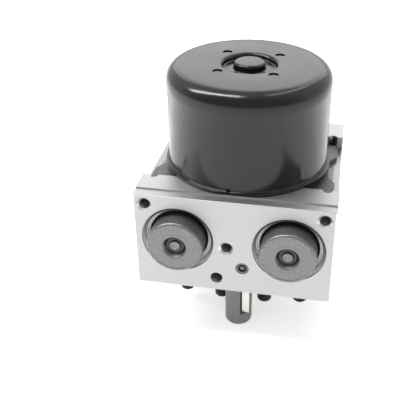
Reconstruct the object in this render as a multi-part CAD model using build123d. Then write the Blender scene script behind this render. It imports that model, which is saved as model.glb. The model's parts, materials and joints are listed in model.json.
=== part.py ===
from build123d import *
import math
import os

# Hydraulic unit of an anti-lock brake system, in millimetres. The motor's axis is Z, and the
# origin is where it meets the underside of the valve block, which is the face that the
# electronic controller bolts to. X runs along the accumulator face, which looks towards -Y.

# Fits
RUNNING_FIT = 0.05
STATIC_FIT = 0.03
SEAT_GAP = 0.05
SPRING_PLAY = 0.25

# Motor can
CAN_RADIUS = 50.6
CAN_HEIGHT = 63.4
CAN_WALL = 2.0
SHOULDER_RADIUS = 9.0
DRAW_LINE_DROP = 13.4
DRAW_STEP = 0.3
FLANGE_WIDTH = 1.9
FLANGE_THICKNESS = 2.0
FOOT_FILLET = 0.9
WELL_RADIUS = 17.0
WELL_DEPTH = 3.5
BUTTON_RADIUS = 9.35
BUTTON_RISE = 1.2
TOP_HOLE_RADIUS = 3.05
TOP_HOLE_SPACING = 33.2
TOP_HOLE_DEPTH = 0.7
CRIMP_NOTCH_X = -4.0
CRIMP_NOTCH_WIDTH = 2.4
CRIMP_NOTCH_HEIGHT = 2.2
CRIMP_NOTCH_DEPTH = 1.0

# Valve block, whose front and back stand clear of the can by the same margin
BLOCK_WIDTH = 120.0
BLOCK_HEIGHT = 65.5
CAN_MARGIN = 7.4
FRONT_STRIP = 23.0
BACK_STRIP = 22.0
CHANNEL_DEPTH = 8.0
LEDGE_WIDTH = 6.8
LEDGE_DROP = 0.8
EDGE_BREAK = 0.5

# End shield and its screws
EAR_FROM_SIDE = 3.0
EAR_WAIST_CUT = 4.6
EAR_WAIST_HALF = 10.7
EAR_SHOULDER_HALF = 18.0
EAR_END_GAP = 5.3
EAR_THICKNESS = 3.0
CHANNEL_CLEARANCE = 0.4
SHIELD_BODY_INSET = 3.6
SHIELD_DISC_THICKNESS = 2.5
SHIELD_SPIGOT = 2.0
SHIELD_SEAL_SECTION = 1.8
SHIELD_SEAL_LAND = 3.0
SHIELD_SEAL_ROOM = 0.3
SCREW_FROM_SIDE = 6.7
SCREW_PAST_WALL = 0.3
SCREW_RADIUS = 1.5
SCREW_CLEARANCE = 0.2
SCREW_LENGTH = 10.0
SCREW_HEAD_RADIUS = 2.5
SCREW_SOCKET_DEPTH = 1.2
LUG_RADIUS = 2.7
LUG_CLEARANCE = 0.25

# Shaft, bearings and eccentric
SHAFT_RADIUS = 4.0
SHAFT_CORE_RADIUS = 6.0
SHAFT_END = 2.0
BEARING_RADIUS = 11.0
BEARING_WIDTH = 7.0
BEARING_RACE = 1.8
BEARING_STEP = 1.0
BEARING_BALLS = 7
BUSH_LENGTH = 6.0
BUSH_END_GAP = 1.0
ECCENTRICITY = 0.8
ECCENTRIC_RADIUS = 7.5
ECCENTRIC_WIDTH = 12.0
NEEDLE_RADIUS = 0.75
NEEDLE_END_GAP = 0.5
NEEDLES = 14
PUMP_RING_WALL = 1.5
CHAMBER_RADIUS = 14.5
CHAMBER_BELOW_PUMP = 17.0

# Armature and magnets, which fill the can between the brush gear and the well
COMMUTATOR_RADIUS = 12.0
COMMUTATOR_LENGTH = 11.0
COMMUTATOR_RISER = 1.5
COMMUTATOR_BARS = 12
BAR_SLIT = 0.6
BAR_SLIT_DEPTH = 0.8
STACK_SLOTS = 12
SLOT_WIDTH = 6.0
SLOT_FLOOR_RADIUS = 18.0
SLOT_MOUTH = 2.4
TOOTH_TIP = 2.0
COIL_HEAD = 5.5
COIL_ROUND = 2.0
COIL_START_GAP = 2.0
COIL_END_GAP = 3.7
SLOT_LINER = 0.2
MAGNET_THICKNESS = 11.0
MAGNET_GAP = 1.0
MAGNET_OVERHANG = 4.0
MAGNET_ARC = 66.0
MAGNETS = 4

# Brush gear and connector post
HOLDER_THICKNESS = 2.5
BRUSH_LENGTH = 13.0
BRUSH_WIDTH = 7.0
BRUSH_HEIGHT = 7.0
BRUSH_BOX_WALL = 1.2
BRUSH_BOX_END = 36.0
BRUSH_TIP = 1.0
POST_X = 0.8
POST_FROM_WALL = 1.85
POST_RADIUS = 8.75
POST_BORE_GAP = 0.25
POST_REACH = 37.7
POST_END_ROUND = 2.5
POST_HEAD = 5.0
RECESS_WALL_X = 2.2
RECESS_PLANE_Y = -2.6
RECESS_REACH = 28.5
BLADE_GAP = 1.0
BLADE_END_GAP = 0.3
BLADE_WIDTH = 4.6
BLADE_THICKNESS = 1.2
CONTACT_THICKNESS = 3.4
CONTACT_BELOW_BLOCK = 4.0

# Pump elements, one on each side of the eccentric
PUMP_BELOW_TOP = 30.5
PISTON_RADIUS = 4.0
PISTON_ROOM = 8.6
PISTON_POCKET = 5.0
PISTON_POCKET_WALL = 1.0
SLEEVE_RADIUS = 8.0
SLEEVE_FROM_CHAMBER = 1.5
SLEEVE_FROM_SIDE = 16.0
SLEEVE_HEAD = 3.0
SLEEVE_GROOVE_DEPTH = 1.5
SLEEVE_INLET_HALF = 3.0
SLEEVE_SEAL_OFFSET = 8.25
SLEEVE_SEAL_WIDTH = 2.5
PLUG_RADIUS = 9.5
PLUG_CHAMBER_RADIUS = 3.0
PLUG_CHAMBER_LENGTH = 8.0
PLUG_PROUD = 0.6
PLUG_SOCKET_RADIUS = 4.6
PLUG_SOCKET_DEPTH = 4.0
PUMP_PASSAGE_RADIUS = 1.0
OUTLET_BALL_RADIUS = 2.0
OUTLET_SEAT_RADIUS = 1.2
OUTLET_LIFT = 0.8

# Low-pressure accumulators in the front face
ACCUMULATOR_SPREAD = 0.281
COUNTERBORE_RADIUS = 22.1
COUNTERBORE_DEPTH = 4.0
CUP_BORE_RADIUS = 18.2
CUP_BORE_DEPTH = 10.0
CUP_RADIUS = 17.0
CUP_WALL = 1.2
CUP_PROTRUSION = 8.8
CUP_EDGE_ROUND = 1.8
CUP_DIMPLE_RADIUS = 7.4
CUP_DIMPLE_FLOOR_RADIUS = 5.2
CUP_DIMPLE_DEPTH = 3.2
CUP_BUTTON_RADIUS = 3.3
CUP_BUTTON_HEIGHT = 1.2
CUP_FLANGE_GAP = 0.15
RING_GROOVE_RADIUS = 19.2
RING_THICKNESS = 1.2
RING_OPENING = 6.0
ACCUMULATOR_RADIUS = 15.0
ACCUMULATOR_DEPTH = 29.0
ACCUMULATOR_PISTON_LENGTH = 11.0
ACCUMULATOR_PISTON_FLOOR = 3.0
ACCUMULATOR_PISTON_WALL = 0.8
PISTON_SEAL_WIDTH = 2.4
PISTON_SEAL_DEPTH = 2.2

# Solenoid valves in the underside
VALVE_OFFSET = 1.7
VALVE_INNER = 14.5
VALVE_OUTER = 38.5
VALVE_ROW = 24.0
VALVE_COLLAR_RADIUS = 6.5
VALVE_BODY_RADIUS = 5.45
VALVE_TIP_RADIUS = 3.95
VALVE_COLLAR_DEPTH = 3.0
VALVE_BODY_DEPTH = 10.0
VALVE_DEPTH = 14.0
DOME_RADIUS = 4.9
DOME_WALL = 0.6
DOME_END_ROUND = 2.0
INLET_DOME_REACH = 31.1
OUTLET_DOME_REACH = 28.1
NECK_LENGTH = 3.0
PLUNGER_TRAVEL = 0.4
PLUNGER_POCKET = 4.0
PLUNGER_POCKET_RADIUS = 2.4
NEEDLE_PIN_RADIUS = 0.9
VALVE_SEAT_Z = 7.0
VALVE_BORE_RADIUS = 2.2
VALVE_SEAT_RADIUS = 0.8

# Springs, each as the thickness of its wire and its number of turns
BRUSH_SPRING = (0.6, 4)
PUMP_SPRING = (0.7, 5)
OUTLET_SPRING = (0.4, 3)
ACCUMULATOR_SPRING = (2.0, 5)
INLET_VALVE_SPRING = (0.4, 5)
OUTLET_VALVE_SPRING = (0.4, 3)

# Tapped holes, ports and drillings
BRACKET_HOLE_FROM_SIDE = 6.5
BRACKET_HOLE_FROM_TOP = 7.5
M8_DRILL_RADIUS = 3.4
M8_MOUTH_RADIUS = 4.45
BRACKET_HOLE_DEPTH = 16.0
UPPER_HOLE_X = -4.1
UPPER_HOLE_Z = 31.9
UPPER_HOLE_DEPTH = 9.3
LOWER_HOLE_X = -9.9
LOWER_HOLE_Z = 9.4
LOWER_HOLE_RADIUS = 3.9
LOWER_HOLE_DEPTH = 12.0
FRONT_PLUG_X = 5.9
FRONT_PLUG_Z = 18.4
CLOSING_PLUG_RADIUS = 4.1
CLOSING_PLUG_DEPTH = 3.0
CLOSING_PLUG_SINK = 0.3
CLOSING_PLUG_RIM = 1.4
CLOSING_PLUG_GROOVE = 1.1
CLOSING_PLUG_PIP_RADIUS = 1.6
CONTROLLER_HOLE_FROM_SIDE = 7.0
CONTROLLER_HOLE_FROM_FACE = 8.0
CONTROLLER_HOLE_RADIUS = 2.1
CONTROLLER_HOLE_DEPTH = 14.0
DRILL_POINT = 118.0
PORT_DEPTH = 15.0
PORT_SPOT_DEPTH = 1.0
PORT_SPOT_MARGIN = 2.0
WHEEL_PORT_Z = 18.0
WHEEL_PORT_RADIUS = 4.5
INLET_PORT_FROM_SIDE = 12.0
INLET_PORT_RADIUS = 5.5
DRILLING_RADIUS = 1.5
GALLERY_Z = 6.5

# Faces and places across the block
SIDE_X = BLOCK_WIDTH / 2
FRONT_Y = -(CAN_RADIUS + CAN_MARGIN)
BACK_Y = CAN_RADIUS + CAN_MARGIN
CHANNEL_FRONT_Y = FRONT_Y + FRONT_STRIP
CHANNEL_BACK_Y = BACK_Y - BACK_STRIP
BRACKET_HOLE_X = SIDE_X - BRACKET_HOLE_FROM_SIDE
CONTROLLER_HOLE_X = SIDE_X - CONTROLLER_HOLE_FROM_SIDE
CONTROLLER_HOLE_YS = (FRONT_Y + CONTROLLER_HOLE_FROM_FACE, BACK_Y - CONTROLLER_HOLE_FROM_FACE)
INLET_PORT_X = SIDE_X - INLET_PORT_FROM_SIDE
ACCUMULATOR_X = ACCUMULATOR_SPREAD * BLOCK_WIDTH
EAR_REACH = SIDE_X - EAR_FROM_SIDE
EAR_WAIST = EAR_REACH - EAR_WAIST_CUT
EAR_END = -CHANNEL_FRONT_Y - EAR_END_GAP
SCREW_X = SIDE_X - SCREW_FROM_SIDE
SCREW_Y = -CHANNEL_FRONT_Y + SCREW_PAST_WALL
SCREW_PLACES = [(x, y) for y in (-SCREW_Y, SCREW_Y) for x in (-SCREW_X, SCREW_X)]
SIDES = {"left": -1, "right": 1}

# Levels, from the underside up
PUMP_Z = BLOCK_HEIGHT - PUMP_BELOW_TOP
CHAMBER_FLOOR = PUMP_Z - CHAMBER_BELOW_PUMP
BRACKET_HOLE_Z = BLOCK_HEIGHT - BRACKET_HOLE_FROM_TOP
SEAT_Z = BLOCK_HEIGHT
FLOOR_Z = BLOCK_HEIGHT - CHANNEL_DEPTH
EAR_TOP_Z = FLOOR_Z + EAR_THICKNESS
CAN_TOP_Z = SEAT_Z + CAN_HEIGHT
WELL_FLOOR_Z = CAN_TOP_Z - WELL_DEPTH
BUTTON_Z = CAN_TOP_Z + BUTTON_RISE
HOLDER_Z = SEAT_Z + SHIELD_DISC_THICKNESS
HOLDER_TOP_Z = HOLDER_Z + HOLDER_THICKNESS
BEARING_Z = FLOOR_Z + BEARING_STEP
BRUSH_Z = HOLDER_TOP_Z + BRUSH_BOX_WALL + BRUSH_HEIGHT / 2
COMMUTATOR_Z = BRUSH_Z - COMMUTATOR_LENGTH / 2
COIL_START_Z = COMMUTATOR_Z + COMMUTATOR_LENGTH + COIL_START_GAP
COIL_END_Z = WELL_FLOOR_Z - CAN_WALL - COIL_END_GAP
STACK_Z = COIL_START_Z + COIL_HEAD
STACK_LENGTH = COIL_END_Z - COIL_HEAD - STACK_Z
BUSH_Z = BUTTON_Z - CAN_WALL - BUSH_LENGTH - BUSH_END_GAP

# Radii and lengths that follow from the fits
CAN_INNER_RADIUS = CAN_RADIUS - CAN_WALL
SHIELD_BODY_RADIUS = CAN_RADIUS - SHIELD_BODY_INSET
STACK_RADIUS = CAN_INNER_RADIUS - SEAT_GAP - MAGNET_THICKNESS - MAGNET_GAP
POST_Y = -(CAN_INNER_RADIUS - POST_FROM_WALL - POST_RADIUS)
POST_BORE_RADIUS = POST_RADIUS + POST_BORE_GAP
SEAL_GROOVE_INNER = CHAMBER_RADIUS + SHIELD_SEAL_LAND
SEAL_GROOVE_OUTER = SEAL_GROOVE_INNER + SHIELD_SEAL_SECTION + 2 * SHIELD_SEAL_ROOM
PUMP_RING_INNER = ECCENTRIC_RADIUS + 2 * (NEEDLE_RADIUS + STATIC_FIT)
PUMP_RING_RADIUS = PUMP_RING_INNER + PUMP_RING_WALL
SLEEVE_START = CHAMBER_RADIUS + SLEEVE_FROM_CHAMBER
SLEEVE_END = SIDE_X - SLEEVE_FROM_SIDE
PISTON_START = PUMP_RING_RADIUS + ECCENTRICITY + SEAT_GAP
PISTON_END = SLEEVE_END - SLEEVE_HEAD - PISTON_ROOM
PISTON_POCKET_RADIUS = PISTON_RADIUS - PISTON_POCKET_WALL
PISTON_GROOVE_RADIUS = ACCUMULATOR_RADIUS - RUNNING_FIT - PISTON_SEAL_DEPTH
PISTON_SPRING_POCKET = PISTON_GROOVE_RADIUS - ACCUMULATOR_PISTON_WALL
RING_SEAT = -(CUP_BORE_DEPTH - CUP_WALL - SEAT_GAP)

# Each valve as (name, x, y, True for an inlet valve)
VALVES = [
    (f"{row}_{side}", VALVE_OFFSET + sign * reach, row_y, inlet)
    for row, row_y in (("front", -VALVE_ROW), ("back", VALVE_ROW))
    for side, sign in SIDES.items()
    for reach, inlet in ((VALVE_INNER, True), (VALVE_OUTER, False))
]


def turned(points):
    """Solid turned about Z from (radius, height, corner radius) points in order round the outline."""
    outline = make_face(Polyline([(r, z) for r, z, _ in points], close=True))
    for r, z, corner in points:
        if corner > 0:
            outline = fillet(outline.vertices().sort_by_distance((r, z, 0))[0], corner)
    return revolve(Plane.XZ * outline, Axis.Z)


def rod_z(x, y, low, high, radius):
    """Round rod along Z between two heights."""
    return Pos(x, y, (low + high) / 2) * Cylinder(radius, high - low)


def rod_y(x, z, low, high, radius):
    """Round rod along Y between two depths."""
    return Pos(x, (low + high) / 2, z) * Rot(90, 0, 0) * Cylinder(radius, high - low)


def rod_x(y, z, low, high, radius):
    """Round rod along X between two places."""
    return Pos((low + high) / 2, y, z) * Rot(0, 90, 0) * Cylinder(radius, high - low)


def slab(x0, x1, y0, y1, z0, z1):
    """Box between three pairs of limits."""
    return Pos((x0 + x1) / 2, (y0 + y1) / 2, (z0 + z1) / 2) * Box(x1 - x0, y1 - y0, z1 - z0)


def tube(inner, outer, low, high):
    """Plain ring about Z."""
    return rod_z(0, 0, low, high, outer) - rod_z(0, 0, low - 1, high + 1, inner)


def coil_spring(room_radius, spring, low, high):
    """Spring about Z that fits a round room with a little play, with its ends at the two heights."""
    wire, turns = spring
    rise = high - low - wire
    path = Helix(rise / turns, rise, room_radius - SPRING_PLAY - wire / 2)
    start = Plane(origin=path @ 0, x_dir=(1, 0, 0), z_dir=path % 0)
    coil = sweep(start * Rectangle(wire, wire), path=path, is_frenet=True)
    return Pos(0, 0, low + wire / 2) * coil


def from_front(x, z, shape):
    """Carries a shape built along +Z to the front face, with its +Z pointing out of the block."""
    return Pos(x, FRONT_Y, z) * Rot(90, 0, 0) * shape


def from_back(x, z, shape):
    """Carries a shape built along +Z to the back face, with its +Z pointing out of the block."""
    return Pos(x, BACK_Y, z) * Rot(-90, 0, 0) * shape


def outwards(side, shape):
    """Carries a shape built along +Z to the pump's axis, with its +Z pointing to that side."""
    return Pos(0, 0, PUMP_Z) * Rot(0, 90 * side, 0) * shape


def drill_tip(radius):
    """Length of the cone that a drill of this radius leaves at the end of its hole."""
    return radius / math.tan(math.radians(DRILL_POINT / 2))


def tapped_hole(drill, mouth, depth):
    """Cutter for a drilled and countersunk hole whose mouth is at height 0."""
    return turned([
        (0, 1, 0), (mouth, 1, 0), (mouth, 0, 0), (drill, drill - mouth, 0), (drill, -depth, 0),
        (0, -depth - drill_tip(drill), 0),
    ])


def port_cutter(radius):
    """Cutter for a brake-pipe port: spot face, thread bore and the cone that the pipe's flare seals on."""
    spot = radius + PORT_SPOT_MARGIN
    return turned([
        (0, 1, 0), (spot, 1, 0), (spot, -PORT_SPOT_DEPTH, 0), (radius, -PORT_SPOT_DEPTH, 0),
        (radius, -PORT_DEPTH, 0), (0, -PORT_DEPTH - drill_tip(radius), 0),
    ])


def valve_bore():
    """Cutter for one valve's stepped bore, up from the underside."""
    collar = VALVE_COLLAR_RADIUS + STATIC_FIT
    body = VALVE_BODY_RADIUS + STATIC_FIT
    tip = VALVE_TIP_RADIUS + STATIC_FIT
    return turned([
        (0, -1, 0), (collar, -1, 0), (collar, VALVE_COLLAR_DEPTH, 0), (body, VALVE_COLLAR_DEPTH, 0),
        (body, VALVE_BODY_DEPTH, 0), (tip, VALVE_BODY_DEPTH, 0), (tip, VALVE_DEPTH, 0), (0, VALVE_DEPTH, 0),
    ])


def accumulator_bore():
    """Cutter for one accumulator's bore: stepped counterbore, ring groove, cup bore and piston bore."""
    step = (COUNTERBORE_RADIUS - CUP_BORE_RADIUS) / 4
    land = COUNTERBORE_DEPTH / 4
    outer = COUNTERBORE_RADIUS - 2 * step
    inner = COUNTERBORE_RADIUS - 3 * step
    groove_top = RING_SEAT + RING_THICKNESS + 2 * SEAT_GAP
    return turned([
        (0, 1, 0), (COUNTERBORE_RADIUS, 1, 0), (COUNTERBORE_RADIUS, -land, 0), (outer, -2 * land, 0),
        (outer, -3 * land, 0), (inner, -3 * land, 0), (inner, -4 * land, 0), (CUP_BORE_RADIUS, -4 * land, 0),
        (CUP_BORE_RADIUS, groove_top, 0), (RING_GROOVE_RADIUS, groove_top, 0),
        (RING_GROOVE_RADIUS, RING_SEAT, 0), (CUP_BORE_RADIUS, RING_SEAT, 0),
        (CUP_BORE_RADIUS, -CUP_BORE_DEPTH, 0), (ACCUMULATOR_RADIUS, -CUP_BORE_DEPTH, 0),
        (ACCUMULATOR_RADIUS, -ACCUMULATOR_DEPTH, 0), (0, -ACCUMULATOR_DEPTH, 0),
    ])


def pump_bore():
    """Cutter for one pump element's bore, from the eccentric's chamber out to the block's side."""
    sleeve = SLEEVE_RADIUS + STATIC_FIT
    plug = PLUG_RADIUS + STATIC_FIT
    return turned([
        (0, 0, 0), (sleeve, 0, 0), (sleeve, SLEEVE_END, 0), (plug, SLEEVE_END, 0),
        (plug, SIDE_X + 1, 0), (0, SIDE_X + 1, 0),
    ])


def closing_plug_places():
    """The closing plugs, as functions that carry a plug built along +Z to its hole."""
    places = [lambda shape: from_front(FRONT_PLUG_X, FRONT_PLUG_Z, shape)]
    for _, x, y, _ in VALVES:
        if y > 0:
            places.append(lambda shape, x=x: from_back(x, GALLERY_Z, shape))
    return places


def block_blank():
    """End profile of the block with its ledge and channel, drawn out along X and with broken edges."""
    low_front = BLOCK_HEIGHT - LEDGE_DROP
    profile = Plane.YZ * make_face(Polyline([
        (FRONT_Y, 0), (FRONT_Y, low_front), (FRONT_Y + LEDGE_WIDTH, low_front),
        (FRONT_Y + LEDGE_WIDTH, BLOCK_HEIGHT), (CHANNEL_FRONT_Y, BLOCK_HEIGHT), (CHANNEL_FRONT_Y, FLOOR_Z),
        (CHANNEL_BACK_Y, FLOOR_Z), (CHANNEL_BACK_Y, BLOCK_HEIGHT), (BACK_Y, BLOCK_HEIGHT), (BACK_Y, 0),
    ], close=True))
    blank = extrude(profile, SIDE_X, both=True)
    long_edges = blank.edges().filter_by(Axis.X)
    outer = [e for e in long_edges if min(e.center().Y - FRONT_Y, BACK_Y - e.center().Y) < 0.01]
    upright_edges = blank.edges().filter_by(Axis.Z)
    uprights = [e for e in upright_edges if abs(e.center().Z - BLOCK_HEIGHT / 2) < LEDGE_DROP]
    return chamfer(outer + uprights, EDGE_BREAK)


def motor_cuts():
    """Cutters for what the motor needs: chamber, seal groove, post bore, screw holes and lug pockets."""
    seal_floor = FLOOR_Z - SHIELD_SEAL_SECTION - SEAT_GAP
    cuts = [
        rod_z(0, 0, CHAMBER_FLOOR, SEAT_Z, CHAMBER_RADIUS),
        tube(SEAL_GROOVE_INNER, SEAL_GROOVE_OUTER, seal_floor, FLOOR_Z + 1),
        rod_z(POST_X, POST_Y, -1, SEAT_Z + 1, POST_BORE_RADIUS),
    ]
    for x, y in SCREW_PLACES:
        cuts.append(rod_z(x, y, FLOOR_Z, SEAT_Z + 1, LUG_RADIUS + LUG_CLEARANCE))
        cuts.append(rod_z(x, y, FLOOR_Z - SCREW_LENGTH, FLOOR_Z + 1, SCREW_RADIUS + STATIC_FIT))
    return cuts


def side_cuts(side):
    """Cutters for one half of the block: accumulator, pump, bracket hole, inlet port and controller holes."""
    x = side * ACCUMULATOR_X
    port_x = side * INLET_PORT_X
    bracket_hole = tapped_hole(M8_DRILL_RADIUS, M8_MOUTH_RADIUS, BRACKET_HOLE_DEPTH)
    cuts = [
        from_front(x, PUMP_Z, accumulator_bore()),
        rod_y(x, PUMP_Z, FRONT_Y + ACCUMULATOR_DEPTH - 1, 0, DRILLING_RADIUS),
        outwards(side, pump_bore()),
        from_front(side * BRACKET_HOLE_X, BRACKET_HOLE_Z, bracket_hole),
        from_back(port_x, PUMP_Z, port_cutter(INLET_PORT_RADIUS)),
        rod_y(port_x, PUMP_Z, PLUG_RADIUS / 2, BACK_Y - PORT_DEPTH / 2, DRILLING_RADIUS),
    ]
    for y in CONTROLLER_HOLE_YS:
        cuts.append(rod_z(side * CONTROLLER_HOLE_X, y, -1, CONTROLLER_HOLE_DEPTH, CONTROLLER_HOLE_RADIUS))
    return cuts


def valve_cuts(x, y):
    """Cutters for one valve, and for a back valve its gallery, its wheel port and the riser between them."""
    cuts = [Pos(x, y, 0) * valve_bore()]
    if y > 0:
        drilling_start = y - 2 * DRILLING_RADIUS
        cuts += [
            rod_y(x, GALLERY_Z, -y, BACK_Y - 1, DRILLING_RADIUS),
            from_back(x, WHEEL_PORT_Z, port_cutter(WHEEL_PORT_RADIUS)),
            rod_y(x, WHEEL_PORT_Z, drilling_start, BACK_Y - PORT_DEPTH / 2, DRILLING_RADIUS),
            rod_z(x, y, VALVE_DEPTH - 1, WHEEL_PORT_Z, PUMP_PASSAGE_RADIUS),
        ]
    return cuts


def make_valve_block():
    """Machined aluminium block with every bore taken out of its blank."""
    cuts = motor_cuts()
    for side in SIDES.values():
        cuts += side_cuts(side)
    for _, x, y, _ in VALVES:
        cuts += valve_cuts(x, y)
    upper_hole = tapped_hole(M8_DRILL_RADIUS, M8_MOUTH_RADIUS, UPPER_HOLE_DEPTH)
    cuts.append(from_front(UPPER_HOLE_X, UPPER_HOLE_Z, upper_hole))
    cuts.append(rod_y(LOWER_HOLE_X, LOWER_HOLE_Z, FRONT_Y - 1, FRONT_Y + LOWER_HOLE_DEPTH, LOWER_HOLE_RADIUS))
    plug_hole = rod_z(0, 0, -CLOSING_PLUG_DEPTH, 1, CLOSING_PLUG_RADIUS)
    cuts += [place(plug_hole) for place in closing_plug_places()]
    block = block_blank()
    for cut in cuts:
        block -= cut
    return block


def make_closing_plugs():
    """Pressed plugs that close the drillings: a disc with a raised pip inside a ring groove."""
    radius = CLOSING_PLUG_RADIUS - STATIC_FIT
    rim = radius - CLOSING_PLUG_RIM
    pip = CLOSING_PLUG_PIP_RADIUS
    top = -CLOSING_PLUG_SINK
    floor = top - CLOSING_PLUG_GROOVE
    plug = turned([
        (0, -CLOSING_PLUG_DEPTH, 0), (radius, -CLOSING_PLUG_DEPTH, 0), (radius, top, 0.3), (rim, top, 0),
        (rim, floor, 0), (pip, floor, 0), (pip, top, 0.4), (0, top, 0),
    ])
    return [place(plug) for place in closing_plug_places()]


def make_motor_can():
    """Deep-drawn can: flange, rounded shoulder, four blind holes and a sunk well round the button."""
    foot = SEAT_Z + FLANGE_THICKNESS
    draw_z = CAN_TOP_Z - DRAW_LINE_DROP
    top_radius = CAN_RADIUS + DRAW_STEP
    flange = CAN_RADIUS + FLANGE_WIDTH
    outside = turned([
        (0, SEAT_Z, 0), (flange, SEAT_Z, 0), (flange, foot, 0.6), (CAN_RADIUS, foot, FOOT_FILLET),
        (CAN_RADIUS, draw_z - 2 * DRAW_STEP, 0), (top_radius, draw_z, 0),
        (top_radius, CAN_TOP_Z, SHOULDER_RADIUS), (WELL_RADIUS, CAN_TOP_Z, 1.2),
        (WELL_RADIUS - 0.8, WELL_FLOOR_Z, 1.0), (BUTTON_RADIUS + 0.4, WELL_FLOOR_Z, 0.8),
        (BUTTON_RADIUS, BUTTON_Z, 1.6), (0, BUTTON_Z, 0),
    ])
    pocket = BUTTON_RADIUS - CAN_WALL
    under_top = CAN_TOP_Z - CAN_WALL
    under_well = WELL_FLOOR_Z - CAN_WALL
    under_button = BUTTON_Z - CAN_WALL
    well = WELL_RADIUS + CAN_WALL
    inside = turned([
        (0, SEAT_Z - 1, 0), (CAN_INNER_RADIUS, SEAT_Z - 1, 0),
        (CAN_INNER_RADIUS, under_top, SHOULDER_RADIUS - CAN_WALL), (well, under_top, 1.0),
        (well - 0.8, under_well, 1.0), (pocket, under_well, 0.6), (pocket, under_button, 0),
        (0, under_button, 0),
    ])
    can = outside - inside
    flat_y = FRONT_Y + LEDGE_WIDTH
    can -= slab(-flange, flange, flat_y - flange, flat_y, SEAT_Z - 1, foot + FOOT_FILLET)
    half = TOP_HOLE_SPACING / 2
    for x in (-half, half):
        for y in (-half, half):
            can -= rod_z(x, y, CAN_TOP_Z - TOP_HOLE_DEPTH, CAN_TOP_Z + 1, TOP_HOLE_RADIUS)
    notch_y = -math.sqrt(CAN_RADIUS ** 2 - CRIMP_NOTCH_X ** 2)
    notch_half = CRIMP_NOTCH_WIDTH / 2
    can -= slab(CRIMP_NOTCH_X - notch_half, CRIMP_NOTCH_X + notch_half,
                notch_y - 1, notch_y + CRIMP_NOTCH_DEPTH, foot, foot + CRIMP_NOTCH_HEIGHT)
    return can


def make_end_shield():
    """Cast shield that closes the motor: waisted ear plate with lugs, body, disc and spigots."""
    right = [(EAR_REACH, EAR_END), (EAR_REACH, EAR_SHOULDER_HALF), (EAR_WAIST, EAR_WAIST_HALF),
             (EAR_WAIST, -EAR_WAIST_HALF), (EAR_REACH, -EAR_SHOULDER_HALF), (EAR_REACH, -EAR_END)]
    left = [(-x, y) for x, y in reversed(right)]
    shield = Pos(0, 0, FLOOR_Z) * extrude(make_face(Polyline(right + left, close=True)), EAR_THICKNESS)
    for x, y in SCREW_PLACES:
        low_y, high_y = sorted((y, math.copysign(EAR_END - 1, y)))
        shield += slab(x - LUG_RADIUS, x + LUG_RADIUS, low_y, high_y, FLOOR_Z, EAR_TOP_Z)
        shield += rod_z(x, y, FLOOR_Z, EAR_TOP_Z, LUG_RADIUS)
    body = rod_z(0, 0, FLOOR_Z, SEAT_Z, SHIELD_BODY_RADIUS)
    shield += body & slab(-EAR_REACH, EAR_REACH, CHANNEL_FRONT_Y + CHANNEL_CLEARANCE,
                          CHANNEL_BACK_Y - CHANNEL_CLEARANCE, FLOOR_Z, SEAT_Z)
    shield += rod_z(0, 0, SEAT_Z, HOLDER_Z, CAN_INNER_RADIUS - STATIC_FIT)
    shield += rod_z(0, 0, FLOOR_Z - SHIELD_SPIGOT, FLOOR_Z, CHAMBER_RADIUS - STATIC_FIT)
    shield -= rod_z(0, 0, BEARING_Z, HOLDER_Z + 1, BEARING_RADIUS + STATIC_FIT)
    shield -= rod_z(0, 0, FLOOR_Z - SHIELD_SPIGOT - 1, BEARING_Z + 1, BEARING_RADIUS - BEARING_RACE)
    shield -= rod_z(POST_X, POST_Y, FLOOR_Z - 1, HOLDER_Z + 1, POST_BORE_RADIUS)
    shank = SCREW_RADIUS + SCREW_CLEARANCE
    head = SCREW_HEAD_RADIUS + STATIC_FIT
    screw_hole = turned([
        (0, FLOOR_Z - 1, 0), (shank, FLOOR_Z - 1, 0), (shank, EAR_TOP_Z - (head - shank), 0),
        (head, EAR_TOP_Z, 0), (head, SEAT_Z + 1, 0), (0, SEAT_Z + 1, 0),
    ])
    for x, y in SCREW_PLACES:
        shield -= Pos(x, y, 0) * screw_hole
    return shield


def make_shield_seal():
    """Round-section ring in the groove round the eccentric's chamber."""
    middle = (SEAL_GROOVE_INNER + SEAL_GROOVE_OUTER) / 2
    section = SHIELD_SEAL_SECTION / 2
    return Pos(0, 0, FLOOR_Z - section - SEAT_GAP / 2) * Torus(middle, section)


def make_motor_screws():
    """Four countersunk screws with a hexagonal socket."""
    end = EAR_TOP_Z - SCREW_LENGTH
    neck = EAR_TOP_Z - (SCREW_HEAD_RADIUS - SCREW_RADIUS)
    screw = turned([
        (0, end, 0), (SCREW_RADIUS, end, 0.4), (SCREW_RADIUS, neck, 0), (SCREW_HEAD_RADIUS, EAR_TOP_Z, 0),
        (0, EAR_TOP_Z, 0),
    ])
    socket = extrude(RegularPolygon(SCREW_RADIUS * 0.8, 6), 2 * SCREW_SOCKET_DEPTH)
    screw -= Pos(0, 0, EAR_TOP_Z - SCREW_SOCKET_DEPTH) * socket
    return [Pos(x, y, 0) * screw for x, y in SCREW_PLACES]


def make_field_magnets():
    """Curved magnets against the can's wall."""
    low = STACK_Z - MAGNET_OVERHANG
    length = STACK_LENGTH + 2 * MAGNET_OVERHANG
    ring = tube(STACK_RADIUS + MAGNET_GAP, CAN_INNER_RADIUS - SEAT_GAP, low, low + length)
    reach = 2 * CAN_RADIUS
    edge = math.radians(MAGNET_ARC / 2)
    corner = (reach * math.cos(edge), reach * math.sin(edge))
    wedge = make_face(Polyline([(0, 0), corner, (reach * 2, 0), (corner[0], -corner[1])], close=True))
    segment = ring & (Pos(0, 0, low) * extrude(wedge, length))
    return [Rot(0, 0, 360 / MAGNETS * (i + 0.5)) * segment for i in range(MAGNETS)]


def make_rear_bush():
    """Sintered bush in the button at the top of the can."""
    outer = BUTTON_RADIUS - CAN_WALL - STATIC_FIT
    return tube(SHAFT_RADIUS + RUNNING_FIT, outer, BUSH_Z, BUSH_Z + BUSH_LENGTH)


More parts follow.
